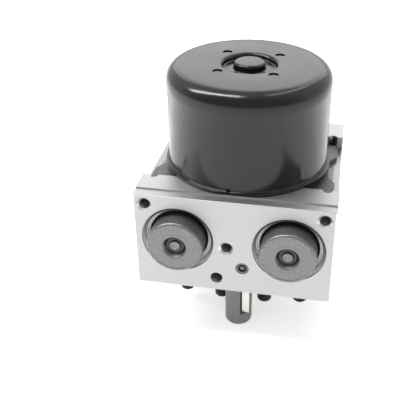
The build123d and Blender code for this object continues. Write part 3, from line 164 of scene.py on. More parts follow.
def make_tumbled_aluminium():
    """Pale satin grey outside, darker cut metal inside with painted shade in the deep bores, painted light on
    the channel walls and a painted highlight on broken edges.
    """
    finish, tree, shader, place = start_finish("tumbled_aluminium")
    fleck = add(tree, "ShaderNodeTexNoise", {
        "Vector": place, "Scale": 1 / FLECK_SIZE, "Detail": 4.0}).outputs["Fac"]
    tumbled = add(tree, "ShaderNodeMix", {
        FACTOR: fleck, COLOUR_A: linear("#a4a4a4"), COLOUR_B: linear("#cfcfcf")}, data_type="RGBA")
    depth = bored_depth(tree, place)
    deep = add(tree, "ShaderNodeMapRange", {
        "Value": depth, "From Min": SHADE_AND_OIL_STARTS, "From Max": SHADE_AND_OIL_FULL}).outputs["Result"]
    across = add(tree, "ShaderNodeSeparateXYZ", {0: place}).outputs["Y"]
    from_middle = add(tree, "ShaderNodeMath", {0: across}, operation="ABSOLUTE").outputs[0]
    is_channel = add(tree, "ShaderNodeMath", {
        0: from_middle, 1: CHANNEL_REACH}, operation="LESS_THAN").outputs[0]
    normal = add(tree, "ShaderNodeNewGeometry").outputs["Normal"]
    leans = add(tree, "ShaderNodeSeparateXYZ", {0: normal}).outputs
    is_steep = add(tree, "ShaderNodeMath", {0: leans["Z"], 1: STEEP_BELOW}, operation="LESS_THAN").outputs[0]
    is_wall = add(tree, "ShaderNodeMath", {0: is_channel, 1: is_steep}, operation="MULTIPLY").outputs[0]
    gloom = add(tree, "ShaderNodeMath", {0: deep, 1: is_wall}, operation="MAXIMUM").outputs[0]
    # Painted shade: cut metal darkens from #969695 to #7c7c7b deeper in the bores.
    cut = add(tree, "ShaderNodeMix", {
        FACTOR: deep, COLOUR_A: linear("#969695"), COLOUR_B: linear("#7c7c7b")}, data_type="RGBA")
    # Painted light: steep walls of the channel get a paler colour that lifts the shade they sit in.
    milled = add(tree, "ShaderNodeMix", {
        FACTOR: is_wall, COLOUR_A: cut.outputs[COLOUR_OUT], COLOUR_B: linear("#c4c4c3")}, data_type="RGBA")
    is_bored = add(tree, "ShaderNodeMath", {0: depth, 1: 0.0}, operation="GREATER_THAN").outputs[0]
    both = add(tree, "ShaderNodeMix", {
        FACTOR: is_bored, COLOUR_A: tumbled.outputs[COLOUR_OUT],
        COLOUR_B: milled.outputs[COLOUR_OUT]}, data_type="RGBA")
    tilt = add(tree, "ShaderNodeMath", {0: leans["Y"]}, operation="ABSOLUTE").outputs[0]
    is_edge = add(tree, "ShaderNodeMath", {
        0: tilt, 1: EDGE_LEAN, 2: EDGE_LEAN_SPREAD}, operation="COMPARE").outputs[0]
    # Painted highlight: surfaces that lean at 45 degrees, the broken edges, are coloured near white.
    whole = add(tree, "ShaderNodeMix", {
        FACTOR: is_edge, COLOUR_A: both.outputs[COLOUR_OUT], COLOUR_B: linear("#f2f2f1")}, data_type="RGBA")
    tree.links.new(whole.outputs[COLOUR_OUT], shader.inputs["Base Color"])
    oily = add(tree, "ShaderNodeMath", {0: gloom, 1: is_bored}, operation="MULTIPLY").outputs[0]
    bare = add(tree, "ShaderNodeMapRange", {"Value": oily, "To Min": 1.0, "To Max": OILY_METALLIC})
    tree.links.new(bare.outputs["Result"], shader.inputs["Metallic"])
    rough = add(tree, "ShaderNodeMapRange", {
        "Value": fleck, "From Min": NOISE_LOW, "From Max": NOISE_HIGH, "To Min": 0.42, "To Max": 0.52})
    worked = add(tree, "ShaderNodeMath", {0: is_bored, 1: is_edge}, operation="MAXIMUM").outputs[0]
    smooth = add(tree, "ShaderNodeMix", {
        FACTOR: worked, NUMBER_A: rough.outputs["Result"], NUMBER_B: 0.3})
    tree.links.new(smooth.outputs[NUMBER_OUT], shader.inputs["Roughness"])
    grain = add(tree, "ShaderNodeBump", {"Height": fleck, "Distance": 0.012 * MM})
    tree.links.new(grain.outputs["Normal"], shader.inputs["Normal"])
    return finish


tumbled_aluminium = make_tumbled_aluminium()
print("made", tumbled_aluminium.name)

# %% [markdown]
# ## Black paint of the motor can
# The can is steel, drawn to shape and electro-coated in gloss black. The paint is almost black
# where it faces the eye, and it reflects the room at its edges and on its top. Such paint levels out
# well, but a faint orange peel stays, and the rings that the drawing press left in the steel still
# show through on the flat top.

# %% Gloss black electro-coat
CLOUD_SIZE = 14 * MM
PEEL_SIZE = 3.5 * MM
RING_SPACING = 5.5 * MM
RING_SHARE = 0.25
PAINT_IOR = 1.5


def make_black_coat():
    """Near-black gloss paint with orange peel, over a sine wave of the distance from the Z axis."""
    finish, tree, shader, place = start_finish("black_electrocoat")
    cloud = add(tree, "ShaderNodeTexNoise", {
        "Vector": place, "Scale": 1 / CLOUD_SIZE, "Detail": 2.0}).outputs["Fac"]
    coat = add(tree, "ShaderNodeMix", {
        FACTOR: cloud, COLOUR_A: linear("#0a0a0b"), COLOUR_B: linear("#111112")}, data_type="RGBA")
    tree.links.new(coat.outputs[COLOUR_OUT], shader.inputs["Base Color"])
    shader.inputs["IOR"].default_value = PAINT_IOR
    haze = add(tree, "ShaderNodeMapRange", {
        "Value": cloud, "From Min": NOISE_LOW, "From Max": NOISE_HIGH, "To Min": 0.15, "To Max": 0.21})
    tree.links.new(haze.outputs["Result"], shader.inputs["Roughness"])
    peel = add(tree, "ShaderNodeTexNoise", {
        "Vector": place, "Scale": 1 / PEEL_SIZE, "Detail": 1.0}).outputs["Fac"]
    flat_place = add(tree, "ShaderNodeVectorMath", {0: place, 1: (1, 1, 0)}, operation="MULTIPLY").outputs[0]
    reach = add(tree, "ShaderNodeVectorMath", {0: flat_place}, operation="LENGTH").outputs["Value"]
    turns = add(tree, "ShaderNodeMath", {
        0: reach, 1: 2 * math.pi / RING_SPACING}, operation="MULTIPLY").outputs[0]
    rings = add(tree, "ShaderNodeMath", {0: turns}, operation="SINE").outputs[0]
    relief = add(tree, "ShaderNodeMath", {
        0: rings, 1: RING_SHARE, 2: peel}, operation="MULTIPLY_ADD").outputs[0]
    bump = add(tree, "ShaderNodeBump", {"Height": relief, "Distance": 0.01 * MM})
    tree.links.new(bump.outputs["Normal"], shader.inputs["Normal"])
    return finish


black_coat = make_black_coat()
print("made", black_coat.name)

# %% [markdown]
# ## Other finishes
# The remaining finishes follow one pattern: two close colours mixed by a fine noise, a roughness
# that wanders, and a relief. So one function makes them, and a table holds each one's real
# material, its colours, how metallic and how rough it is, and the size and depth of its grain.

# %% Table of plain finishes
# name: (low colour, high colour, metallic, roughness low, roughness high, grain mm, grain depth mm)
PLAIN_FINISHES = {
    # die-cast shield, dull grey, with the speckle of the mould's release coat
    "grey_casting": ("#56575a", "#7c7d7f", 0.8, 0.42, 0.55, 1.1, 0.03),
    # austenitic dome sleeves, nearly black
    "dark_sleeve": ("#1b1b1d", "#2b2b2d", 0.6, 0.28, 0.4, 1.0, 0.01),
    # phosphated fasteners and laminations: dark grey, dry
    "phosphated_steel": ("#1c1d1e", "#2a2b2c", 0.8, 0.5, 0.65, 0.7, 0.01),
    # ground and hardened steel of shafts, rings and springs
    "ground_steel": ("#a8a8aa", "#c4c4c6", 1.0, 0.2, 0.32, 0.6, 0.005),
    # glass-filled polyamide, moulded, with a faint sheen from its fibres
    "glass_filled_nylon": ("#7b7b7c", "#88888a", 0.0, 0.36, 0.5, 0.7, 0.01),
    # tin plating over copper, pale and soft
    "tin_plate": ("#cfcfc8", "#e4e4de", 0.9, 0.3, 0.42, 1.0, 0.01),
    # enamelled copper wire, brown-red under its varnish
    "enamelled_copper": ("#8a4a26", "#a95f34", 0.8, 0.3, 0.42, 1.4, 0.1),
    # porous sintered bronze
    "sintered_bronze": ("#8f6f45", "#a8875a", 0.9, 0.45, 0.6, 0.5, 0.02),
    # fired ferrite magnet, almost black
    "fired_ferrite": ("#232326", "#2e2e31", 0.1, 0.6, 0.75, 0.5, 0.01),
    # pressed carbon of the brushes
    "pressed_carbon": ("#1d1d1e", "#29292a", 0.2, 0.5, 0.65, 0.4, 0.01),
    # nitrile rubber of the seals
    "nitrile_rubber": ("#141415", "#1d1d1e", 0.0, 0.5, 0.62, 0.8, 0.01),
    # anodised accumulator piston
    "anodised_piston": ("#9d9ea2", "#b4b5b8", 0.9, 0.35, 0.45, 0.9, 0.005),
}
BROAD_TO_FINE = 4


def make_plain_finish(name, low, high, metallic, rough_low, rough_high, grain, depth):
    """Two close colours and a relief from a fine noise, and a roughness from one four times as broad."""
    finish, tree, shader, place = start_finish(name)
    fine = add(tree, "ShaderNodeTexNoise", {
        "Vector": place, "Scale": 1 / (grain * MM), "Detail": 4.0}).outputs["Fac"]
    fleck = add(tree, "ShaderNodeMapRange", {"Value": fine, "From Min": NOISE_LOW, "From Max": NOISE_HIGH})
    colour = add(tree, "ShaderNodeMix", {
        FACTOR: fleck.outputs["Result"], COLOUR_A: linear(low), COLOUR_B: linear(high)}, data_type="RGBA")
    tree.links.new(colour.outputs[COLOUR_OUT], shader.inputs["Base Color"])
    shader.inputs["Metallic"].default_value = metallic
    broad = add(tree, "ShaderNodeTexNoise", {
        "Vector": place, "Scale": 1 / (BROAD_TO_FINE * grain * MM)}).outputs["Fac"]
    rough = add(tree, "ShaderNodeMapRange", {
        "Value": broad, "From Min": NOISE_LOW, "From Max": NOISE_HIGH,
        "To Min": rough_low, "To Max": rough_high})
    tree.links.new(rough.outputs["Result"], shader.inputs["Roughness"])
    bump = add(tree, "ShaderNodeBump", {"Height": fine, "Distance": depth * MM})
    tree.links.new(bump.outputs["Normal"], shader.inputs["Normal"])
    return finish


finishes = {name: make_plain_finish(name, *facts) for name, facts in PLAIN_FINISHES.items()}
print(len(finishes), "plain finishes")

# %% [markdown]
# ## Closing plugs
# Each drilling is closed by a pressed steel plug. Its rim and the pip in its middle are satin, and
# the groove between them is coloured near black as painted shade. The groove's floor is the only part
# of a plug that lies deeper than half a millimetre in the block, so its depth is enough to tell it apart.

# %% Turned steel plugs with painted shade in the groove
PLUG_GRAIN = 0.6 * MM
GROOVE_BELOW = 57.5 * MM


def make_plug_steel():
    """Satin turned steel, and near-black painted shade where the distance from the XZ plane is under the
    groove's.
    """
    finish, tree, shader, place = start_finish("turned_steel")
    fine = add(tree, "ShaderNodeTexNoise", {
        "Vector": place, "Scale": 1 / PLUG_GRAIN, "Detail": 4.0}).outputs["Fac"]
    clean = add(tree, "ShaderNodeMix", {
        FACTOR: fine, COLOUR_A: linear("#5c5c5b"), COLOUR_B: linear("#767675")}, data_type="RGBA")
    along = add(tree, "ShaderNodeSeparateXYZ", {0: place}).outputs["Y"]
    from_middle = add(tree, "ShaderNodeMath", {0: along}, operation="ABSOLUTE").outputs[0]
    is_groove = add(tree, "ShaderNodeMath", {
        0: from_middle, 1: GROOVE_BELOW}, operation="LESS_THAN").outputs[0]
    # Painted shade: the groove is coloured near black.
    colour = add(tree, "ShaderNodeMix", {
        FACTOR: is_groove, COLOUR_A: clean.outputs[COLOUR_OUT],
        COLOUR_B: linear("#333332")}, data_type="RGBA")
    tree.links.new(colour.outputs[COLOUR_OUT], shader.inputs["Base Color"])
    shader.inputs["Metallic"].default_value = 1.0
    shader.inputs["Roughness"].default_value = 0.34
    bump = add(tree, "ShaderNodeBump", {"Height": fine, "Distance": 0.01 * MM})
    tree.links.new(bump.outputs["Normal"], shader.inputs["Normal"])
    return finish


turned_steel = make_plug_steel()
print("made", turned_steel.name)

# %% [markdown]
# ## Plated steel of the accumulator cups
# A cup is deep-drawn from sheet and plated with zinc-nickel, a mid grey with fine pale flecks. In the
# dimple round its button the plating is coloured dark, as painted shade, and made glossy. The
# distance from the cup's axis says where that is. The two cups lie the same way left and right of
# the middle, so folding the place with its absolute value serves both.

# %% Drawn steel with painted shade in the dimple
CUP_X, CUP_Z = 33.72, 35.0
PLATING_GRAIN = 0.7 * MM
DIMPLE_RADIUS = 4.7 * MM
DIMPLE_DARK, DIMPLE_END = 1.1 * MM, 2.2 * MM


def make_drawn_steel():
    """Plated steel with painted shade, dark within a band on both sides of DIMPLE_RADIUS round a cup's axis.
    """
    finish, tree, shader, place = start_finish("drawn_steel")
    fine = add(tree, "ShaderNodeTexNoise", {
        "Vector": place, "Scale": 1 / PLATING_GRAIN, "Detail": 4.0}).outputs["Fac"]
    fleck = add(tree, "ShaderNodeMapRange", {"Value": fine, "From Min": 0.35, "From Max": 0.65})
    plated = add(tree, "ShaderNodeMix", {
        FACTOR: fleck.outputs["Result"], COLOUR_A: linear("#707070"),
        COLOUR_B: linear("#939393")}, data_type="RGBA")
    folded = add(tree, "ShaderNodeVectorMath", {0: place}, operation="ABSOLUTE").outputs[0]
    on_face = add(tree, "ShaderNodeVectorMath", {0: folded, 1: (1, 0, 1)}, operation="MULTIPLY").outputs[0]
    reach = add(tree, "ShaderNodeVectorMath", {
        0: on_face, 1: (CUP_X * MM, 0, CUP_Z * MM)}, operation="DISTANCE").outputs["Value"]
    off_ring = add(tree, "ShaderNodeMath", {0: reach, 1: DIMPLE_RADIUS}, operation="SUBTRACT").outputs[0]
    away = add(tree, "ShaderNodeMath", {0: off_ring}, operation="ABSOLUTE").outputs[0]
    dark = add(tree, "ShaderNodeMapRange", {
        "Value": away, "From Min": DIMPLE_DARK, "From Max": DIMPLE_END,
        "To Min": 1.0, "To Max": 0.0}).outputs["Result"]
    # Painted shade: the band round the dimple is coloured dark.
    colour = add(tree, "ShaderNodeMix", {
        FACTOR: dark, COLOUR_A: plated.outputs[COLOUR_OUT], COLOUR_B: linear("#474746")}, data_type="RGBA")
    tree.links.new(colour.outputs[COLOUR_OUT], shader.inputs["Base Color"])
    shader.inputs["Metallic"].default_value = 1.0
    rough = add(tree, "ShaderNodeMapRange", {"Value": dark, "To Min": 0.46, "To Max": 0.27})
    tree.links.new(rough.outputs["Result"], shader.inputs["Roughness"])
    bump = add(tree, "ShaderNodeBump", {"Height": fine, "Distance": 0.008 * MM})
    tree.links.new(bump.outputs["Normal"], shader.inputs["Normal"])
    return finish


drawn_steel = make_drawn_steel()
print("made", drawn_steel.name)

# %% [markdown]
# ## Which finish each CAD piece takes
# The record gives every CAD node a material slot, and all nodes of one slot are made of the same
# stuff. So each slot gets one finish.

# %% Finish the CAD nodes
SLOT_FINISH = {
    "block_aluminium": tumbled_aluminium, "can_black": black_coat,
    "piston_aluminium": finishes["anodised_piston"], "shield_casting": finishes["grey_casting"],
    "dark_steel": finishes["phosphated_steel"], "bright_steel": finishes["ground_steel"],
    "plug_steel": turned_steel, "cup_steel": drawn_steel,
    "dome_steel": finishes["dark_sleeve"], "grey_plastic": finishes["glass_filled_nylon"],
    "tinned_copper": finishes["tin_plate"], "copper": finishes["enamelled_copper"],
    "bronze": finishes["sintered_bronze"], "ferrite": finishes["fired_ferrite"],
    "carbon": finishes["pressed_carbon"], "seal_rubber": finishes["nitrile_rubber"],
}
for part in frame["record"]["subparts"]:
    frame["nodes"][part["node"]].data.materials[0] = SLOT_FINISH[part["material_slot"]]

# %% [markdown]
# ## Round surfaces
# The can and the cups are drawn from sheet, so each is an outline turned about an axis. The outline
# is written as corners with a radius each, which is how a maker's drawing gives it, and a function
# rounds the corners.

# %% Outlines with rounded corners
def rounded_outline(corners, steps=10):
    """Outline of (radius, height) points from (radius, height, corner radius) corners, in order.

    At a corner of radius r that turns by an angle t, the arc starts r * tan(t / 2) before the
    corner. Its points lie at centre + r * (cos a, sin a), with the angle a running evenly from one
    tangent point to the other.
    """
    points = []
    count = len(corners)
    for i, (x, z, radius) in enumerate(corners):
        here = np.array([x, z], float)
        if radius == 0:
            points.append(here[None])
            continue
        back = np.array(corners[i - 1][:2]) - here
        ahead = np.array(corners[(i + 1) % count][:2]) - here
        back /= np.linalg.norm(back)
        ahead /= np.linalg.norm(ahead)
        half = math.acos(float(np.clip(back @ ahead, -1, 1))) / 2
        middle = (back + ahead) / np.linalg.norm(back + ahead)
        centre = here + middle * radius / math.sin(half)
        first = here + back * radius / math.tan(half)
        last = here + ahead * radius / math.tan(half)
        a0 = math.atan2(*(first - centre)[::-1])
        turn = (math.atan2(*(last - centre)[::-1]) - a0 + math.pi) % (2 * math.pi) - math.pi
        a = a0 + turn * np.linspace(0, 1, steps + 1)
        points.append(centre + radius * np.stack([np.cos(a), np.sin(a)], axis=1))
    return np.concatenate(points)


test_outline = rounded_outline([(0, 0, 0), (5, 0, 1), (5, 3, 0), (0, 3, 0)])
print(len(test_outline), "points on a small test outline")

# %% [markdown]
# ## From an outline to a mesh
# A grid of points whose rows and columns both close on themselves makes any turned piece: one row is
# one turn round the axis, and the rows follow the outline all the way round. Where the outline meets
# the axis a row shrinks to a single point, so the points there are merged. Smooth shading then hides
# the facets, except at edges that bend sharply and should stay crisp.

# %% Grids, meshes and pieces
SHARP_ANGLE = math.radians(35)
MERGE_DISTANCE = 1e-7


def turned_grid(outline, sides):
    """Point (i, j) is (r_i cos a_j, r_i sin a_j, z_i), with the angle a_j going once round."""
    angles = np.linspace(0, 2 * np.pi, sides, endpoint=False)
    r, z = outline[:, 0:1], outline[:, 1:2]
    return np.stack([r * np.cos(angles), r * np.sin(angles), z + 0 * angles], axis=2)


def grid_mesh(name, grid):
    """Mesh of quads that join point (i, j) to (i + 1, j) and (i, j + 1), closed both ways round."""
    rows, columns = grid.shape[:2]
    i, j = np.meshgrid(np.arange(rows), np.arange(columns), indexing="ij")
    i, j = i.ravel(), j.ravel()
    across, down = (j + 1) % columns, (i + 1) % rows
    quads = np.stack([
        i * columns + j, i * columns + across, down * columns + across, down * columns + j], axis=1)
    mesh = bpy.data.meshes.new(name)
    mesh.from_pydata((grid.reshape(-1, 3) * MM).tolist(), [], quads.tolist())
    return mesh


def smoothed(mesh):
    """Shades the mesh smooth, and leaves an edge sharp only where it bends by more than SHARP_ANGLE."""
    mesh.shade_smooth()
    mesh.set_sharp_from_angle(angle=SHARP_ANGLE)
    return mesh


def tidy_mesh(mesh):
    """Merges points that meet, drops quads that shrank to nothing, and turns every face outwards."""
    work = bmesh.new()
    work.from_mesh(mesh)
    bmesh.ops.remove_doubles(work, verts=work.verts, dist=MERGE_DISTANCE)
    bmesh.ops.dissolve_degenerate(work, edges=work.edges, dist=MERGE_DISTANCE)
    bmesh.ops.recalc_face_normals(work, faces=work.faces)
    work.to_mesh(mesh)
    work.free()
    return smoothed(mesh)


def show(name, mesh, finish, body, replaces=()):
    """Puts a mesh into the scene as a piece that rides on a body and stands for CAD nodes."""
    piece = bpy.data.objects.new(name, mesh)
    bpy.context.collection.objects.link(piece)
    mesh.materials.append(finish)
    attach(piece, body)
    if replaces:
        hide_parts(*replaces)
    print(name, "has", len(mesh.polygons), "faces")


print("turned in 8 sides, the test outline is a grid of", turned_grid(test_outline, 8).shape)

# %% [markdown]
# ## Motor can
# The can carries most of what the eye sees: long soft reflections down its wall and two bright
# streaks on its shoulder. A mesh of flat triangles would break those up, so the can is turned
# again here with many even sides. Its outline runs up the outside from the flange, over the draw
# line and the shoulder, through the well and over the button, and back down the inside.

# %% Outline of the can, in millimetres
CAN_RADIUS, CAN_WALL, SEAT_Z, CAN_TOP = 50.6, 2.0, 65.5, 128.9
FLANGE_RADIUS, FLANGE_TOP = 52.5, 67.5
DRAW_LINE_LOW, DRAW_LINE_HIGH, DRAW_STEP = 114.9, 115.5, 0.3
SHOULDER, INNER_SHOULDER, WELL_LIP = 9.0, 7.0, 2.2
WELL_RADIUS, WELL_FLOOR, WELL_DRAFT = 17.0, 125.4, 0.8
BUTTON_RADIUS, BUTTON_TOP, BUTTON_DRAFT = 9.35, 130.1, 0.4
CAN_STEPS, CAN_SIDES = 12, 256
inner_top, inner_well, inner_button = CAN_TOP - CAN_WALL, WELL_FLOOR - CAN_WALL, BUTTON_TOP - CAN_WALL
can_outline = rounded_outline([
    (FLANGE_RADIUS, SEAT_Z, 0.3), (FLANGE_RADIUS, FLANGE_TOP, 0.6), (CAN_RADIUS, FLANGE_TOP, 0.9),
    (CAN_RADIUS, DRAW_LINE_LOW, 0), (CAN_RADIUS + DRAW_STEP, DRAW_LINE_HIGH, 0),
    (CAN_RADIUS + DRAW_STEP, CAN_TOP, SHOULDER),
    (WELL_RADIUS, CAN_TOP, WELL_LIP), (WELL_RADIUS - WELL_DRAFT, WELL_FLOOR, 0.9),
    (BUTTON_RADIUS + BUTTON_DRAFT, WELL_FLOOR, 0.8), (BUTTON_RADIUS, BUTTON_TOP, 1.6),
    (0, BUTTON_TOP, 0), (0, inner_button, 0),
    (BUTTON_RADIUS - CAN_WALL, inner_button, 0), (BUTTON_RADIUS - CAN_WALL, inner_well, 0.6),
    (WELL_RADIUS + CAN_WALL - WELL_DRAFT, inner_well, 1.0), (WELL_RADIUS + CAN_WALL, inner_top, 1.0),
    (CAN_RADIUS - CAN_WALL, inner_top, INNER_SHOULDER), (CAN_RADIUS - CAN_WALL, SEAT_Z, 0),
], CAN_STEPS)
can_blank = tidy_mesh(grid_mesh("motor_can_drawn", turned_grid(can_outline, CAN_SIDES)))
print("can outline has", len(can_outline), "points")

# %% [markdown]
# ## Cutting the can
# Four shallow holes, a flat along the flange's front edge and a small notch at the wall's foot are
# stamped into the real can. Here they are cut out of the turned blank with a Boolean modifier, which
# is applied so that no cutter stays behind.

# %% Tools for cutting
def cut_with(mesh, cutters):
    """Takes the cutters out of the mesh with an exact Boolean and returns the new mesh."""
    body = bpy.data.objects.new("blank", mesh)
    tool = bpy.data.objects.new("cutter", cutters)
    for item in (body, tool):
        bpy.context.collection.objects.link(item)
    cut = body.modifiers.new("cut", "BOOLEAN")
    cut.operation, cut.object, cut.solver = "DIFFERENCE", tool, "EXACT"
    made = bpy.data.meshes.new_from_object(body.evaluated_get(bpy.context.evaluated_depsgraph_get()))
    for item in (body, tool):
        bpy.data.objects.remove(item)
    return made


def box_grid(x0, x1, y0, y1, z0, z1):
    """Box as a grid: two rings of four corners between two rings shrunk to a point at each end."""
    ring = np.array([(x0, y0), (x1, y0), (x1, y1), (x0, y1)], float)
    middle = np.tile(ring.mean(axis=0), (4, 1))
    return np.stack([np.column_stack([p, np.full(4, z)]) for p, z in
                     ((middle, z0), (ring, z0), (ring, z1), (middle, z1))])


def joined(meshes, name):
    """One mesh from several."""
    work = bmesh.new()
    for mesh in meshes:
        work.from_mesh(mesh)
    whole = bpy.data.meshes.new(name)
    work.to_mesh(whole)
    work.free()
    return whole


print("a box for cutting is a grid of", box_grid(0, 1, 0, 1, 0, 1).shape)

# %% Cut the holes, the flat and the notch
HOLE_RADIUS, HOLE_AT, HOLE_DEPTH, HOLE_SIDES = 3.05, 16.6, 0.7, 48
FLAT_Y, FLAT_TOP = -51.2, 68.4
NOTCH_X, NOTCH_HALF, NOTCH_TOP = -4.0, 1.2, 69.7
NOTCH_OUT, NOTCH_IN = 0.6, 0.5
hole_outline = rounded_outline([
    (0, CAN_TOP - HOLE_DEPTH, 0), (HOLE_RADIUS, CAN_TOP - HOLE_DEPTH, 0),
    (HOLE_RADIUS, CAN_TOP + 1, 0), (0, CAN_TOP + 1, 0)])
cutters = []
for x in (-HOLE_AT, HOLE_AT):
    for y in (-HOLE_AT, HOLE_AT):
        hole = turned_grid(hole_outline, HOLE_SIDES) + np.array([x, y, 0])
        cutters.append(tidy_mesh(grid_mesh("hole", hole)))
cutters.append(tidy_mesh(grid_mesh("flat", box_grid(-60, 60, FLAT_Y - 20, FLAT_Y, 60, FLAT_TOP))))
wall_y = -math.sqrt(CAN_RADIUS ** 2 - NOTCH_X ** 2)
cutters.append(tidy_mesh(grid_mesh("notch", box_grid(
    NOTCH_X - NOTCH_HALF, NOTCH_X + NOTCH_HALF, wall_y - NOTCH_OUT, wall_y + NOTCH_IN,
    FLANGE_TOP, NOTCH_TOP))))
can_mesh = smoothed(cut_with(can_blank, joined(cutters, "cutters")))
can_mesh.name = "motor_can_drawn"
can_mesh.materials.clear()
show("motor_can_drawn", can_mesh, black_coat, "unit", ["motor_can"])

# %% [markdown]
# ## Accumulator cups
# Two drawn cups close the accumulators and stand out of the front face. Each has a low bead round
# its edge, a flat end with a faint ring, and a button sunk in a dimple. They are turned like the can,
# and then their axis is laid along -Y. Heights count from the block's face, so what is negative lies
# in the block.

# %% Two cups
BLOCK_REACH_Y = 58.0
CUP_SIDES = 160
CUP_RADIUS, CUP_INNER, CUP_FLANGE, CUP_FOOT, CUP_FLANGE_TOP = 17.0, 15.8, 18.05, -9.95, -8.8
CUP_FACE, CUP_FACE_INSIDE, BEAD_TOP = 8.5, 7.6, 8.8
BUTTON_FACE, DIMPLE_FLOOR, DIMPLE_INSIDE = 6.8, 5.6, 4.4
RING_START, RING_END, RING_FLOOR = 9.0, 9.4, 8.42
cup_outline = rounded_outline([
    (0, BUTTON_FACE, 0), (3.3, BUTTON_FACE, 0.7), (3.5, DIMPLE_FLOOR, 0.3), (5.2, DIMPLE_FLOOR, 0.6),
    (7.4, CUP_FACE, 1.1), (RING_START, CUP_FACE, 0.1), (9.2, RING_FLOOR, 0.05), (RING_END, CUP_FACE, 0.1),
    (14.4, CUP_FACE, 0.7), (15.1, BEAD_TOP, 0.4), (CUP_RADIUS, BEAD_TOP, 1.6),
    (CUP_RADIUS, CUP_FLANGE_TOP, 0.4), (CUP_FLANGE, CUP_FLANGE_TOP, 0), (CUP_FLANGE, CUP_FOOT, 0),
    (CUP_INNER, CUP_FOOT, 0.6), (CUP_INNER, CUP_FACE_INSIDE, 1.8), (8.6, CUP_FACE_INSIDE, 0.4),
    (6.4, DIMPLE_INSIDE, 0.8), (0, DIMPLE_INSIDE, 0),
])


def laid_forward(grid, x, z):
    """Turns a grid's axis from +Z to -Y and moves it to the front face: (x, y, z) goes to (x, -z, y)."""
    return np.stack([grid[..., 0] + x, -BLOCK_REACH_Y - grid[..., 2], grid[..., 1] + z], axis=2)


for side, x in (("left", -CUP_X), ("right", CUP_X)):
    cup = tidy_mesh(grid_mesh(
        f"accumulator_cup_{side}_drawn", laid_forward(turned_grid(cup_outline, CUP_SIDES), x, CUP_Z)))
    show(f"accumulator_cup_{side}_drawn", cup, drawn_steel, "unit", [f"accumulator_cup_{side}"])

# %% [markdown]
# ## Threads
# The bracket screws and the brake pipes go into tapped holes, and the turns of a thread are what
# gives such a hole its banded look. The CAD bores are plain, so a thin threaded lining goes into
# each. A thread is one surface: its radius rises and falls along the hole, and the wave moves on by
# one pitch in each turn round it.

# %% Linings with a thread
THREAD_SIDES, ROWS_PER_PITCH = 60, 8
THREAD_HEIGHT, CREST_CLEARANCE, BORE_CLEARANCE = 0.4, 0.05, 0.01


def thread_grid(bore, pitch, start, end):
    """Closed lining of a hole whose mouth is at height 0, as a grid of points.

    At an angle a and a height z the inner radius is bore - CREST_CLEARANCE - THREAD_HEIGHT * w, where
    w is a triangle wave between 0 and 1 of z / pitch - a / (2 pi). The outer radius stays just inside
    the bore.
    """
    z = np.arange(-end, -start, pitch / ROWS_PER_PITCH)[:, None]
    angles = np.linspace(0, 2 * np.pi, THREAD_SIDES, endpoint=False)[None]
    phase = (z / pitch - angles / (2 * np.pi)) % 1.0
    inner = bore - CREST_CLEARANCE - THREAD_HEIGHT * (1 - np.abs(2 * phase - 1))
    radius = np.concatenate([inner, np.full((2, THREAD_SIDES), bore - BORE_CLEARANCE)])
    z = np.concatenate([z, z[-1:], z[:1]]) + 0 * angles
    return np.stack([radius * np.cos(angles), radius * np.sin(angles), z], axis=2)


def laid_back(grid, x, z):
    """Turns a grid's axis from +Z to +Y and moves it to the back face: (x, y, z) goes to (-x, z, y)."""
    return np.stack([x - grid[..., 0], BLOCK_REACH_Y + grid[..., 2], grid[..., 1] + z], axis=2)


print("a lining's grid is", thread_grid(3.4, 1.25, 1.2, 14.0).shape)

# %% Threads of the front holes and the back ports
# Sizes of one hole, in millimetres: bore radius, pitch, and the depths where its thread starts and ends
BRACKET_THREAD = (3.4, 1.25, 1.2, 14.0)
MIDDLE_THREAD = (3.4, 1.25, 1.2, 8.6)
LOW_THREAD = (3.9, 1.25, 0.6, 11.0)
WHEEL_PORT_THREAD = (4.5, 1.0, 1.2, 13.5)
INLET_PORT_THREAD = (5.5, 1.0, 1.2, 13.5)
BRACKET_X, BRACKET_Z = 53.5, 58.0
WHEEL_PORTS_X, WHEEL_PORTS_Z = (-36.8, -12.8, 16.2, 40.2), 18.0
INLET_PORTS_X, INLET_PORTS_Z = (-48.0, 48.0), 35.0


def show_threads(name, holes, lay):
    """One piece from the linings of several holes, each given by its x, its z and its sizes."""
    linings = [tidy_mesh(grid_mesh("lining", lay(thread_grid(*sizes), x, z))) for x, z, sizes in holes]
    show(name, smoothed(joined(linings, name)), tumbled_aluminium, "unit")


show_threads("front_hole_threads", [
    (-BRACKET_X, BRACKET_Z, BRACKET_THREAD), (BRACKET_X, BRACKET_Z, BRACKET_THREAD),
    (-4.1, 31.9, MIDDLE_THREAD), (-9.9, 9.4, LOW_THREAD),
], laid_forward)
show_threads("back_port_threads", [
    *((x, WHEEL_PORTS_Z, WHEEL_PORT_THREAD) for x in WHEEL_PORTS_X),
    *((x, INLET_PORTS_Z, INLET_PORT_THREAD) for x in INLET_PORTS_X),
], laid_back)

# %% [markdown]
# ## Floor
# The unit stands on the end of its contact post on a plain white floor. Half of the floor's white is
# light of its own and half is lit by the lamps, so it looks white and a soft shadow stays on it. Light
# that bounces from it onto the unit comes from the lit half alone, which keeps the unit's underside
# from glowing.

# %% Floor
FLOOR_GLOW = 0.55
FLOOR_REACH = 6
FLOOR_Z = cad_box[0][2] - 0.1 * MM


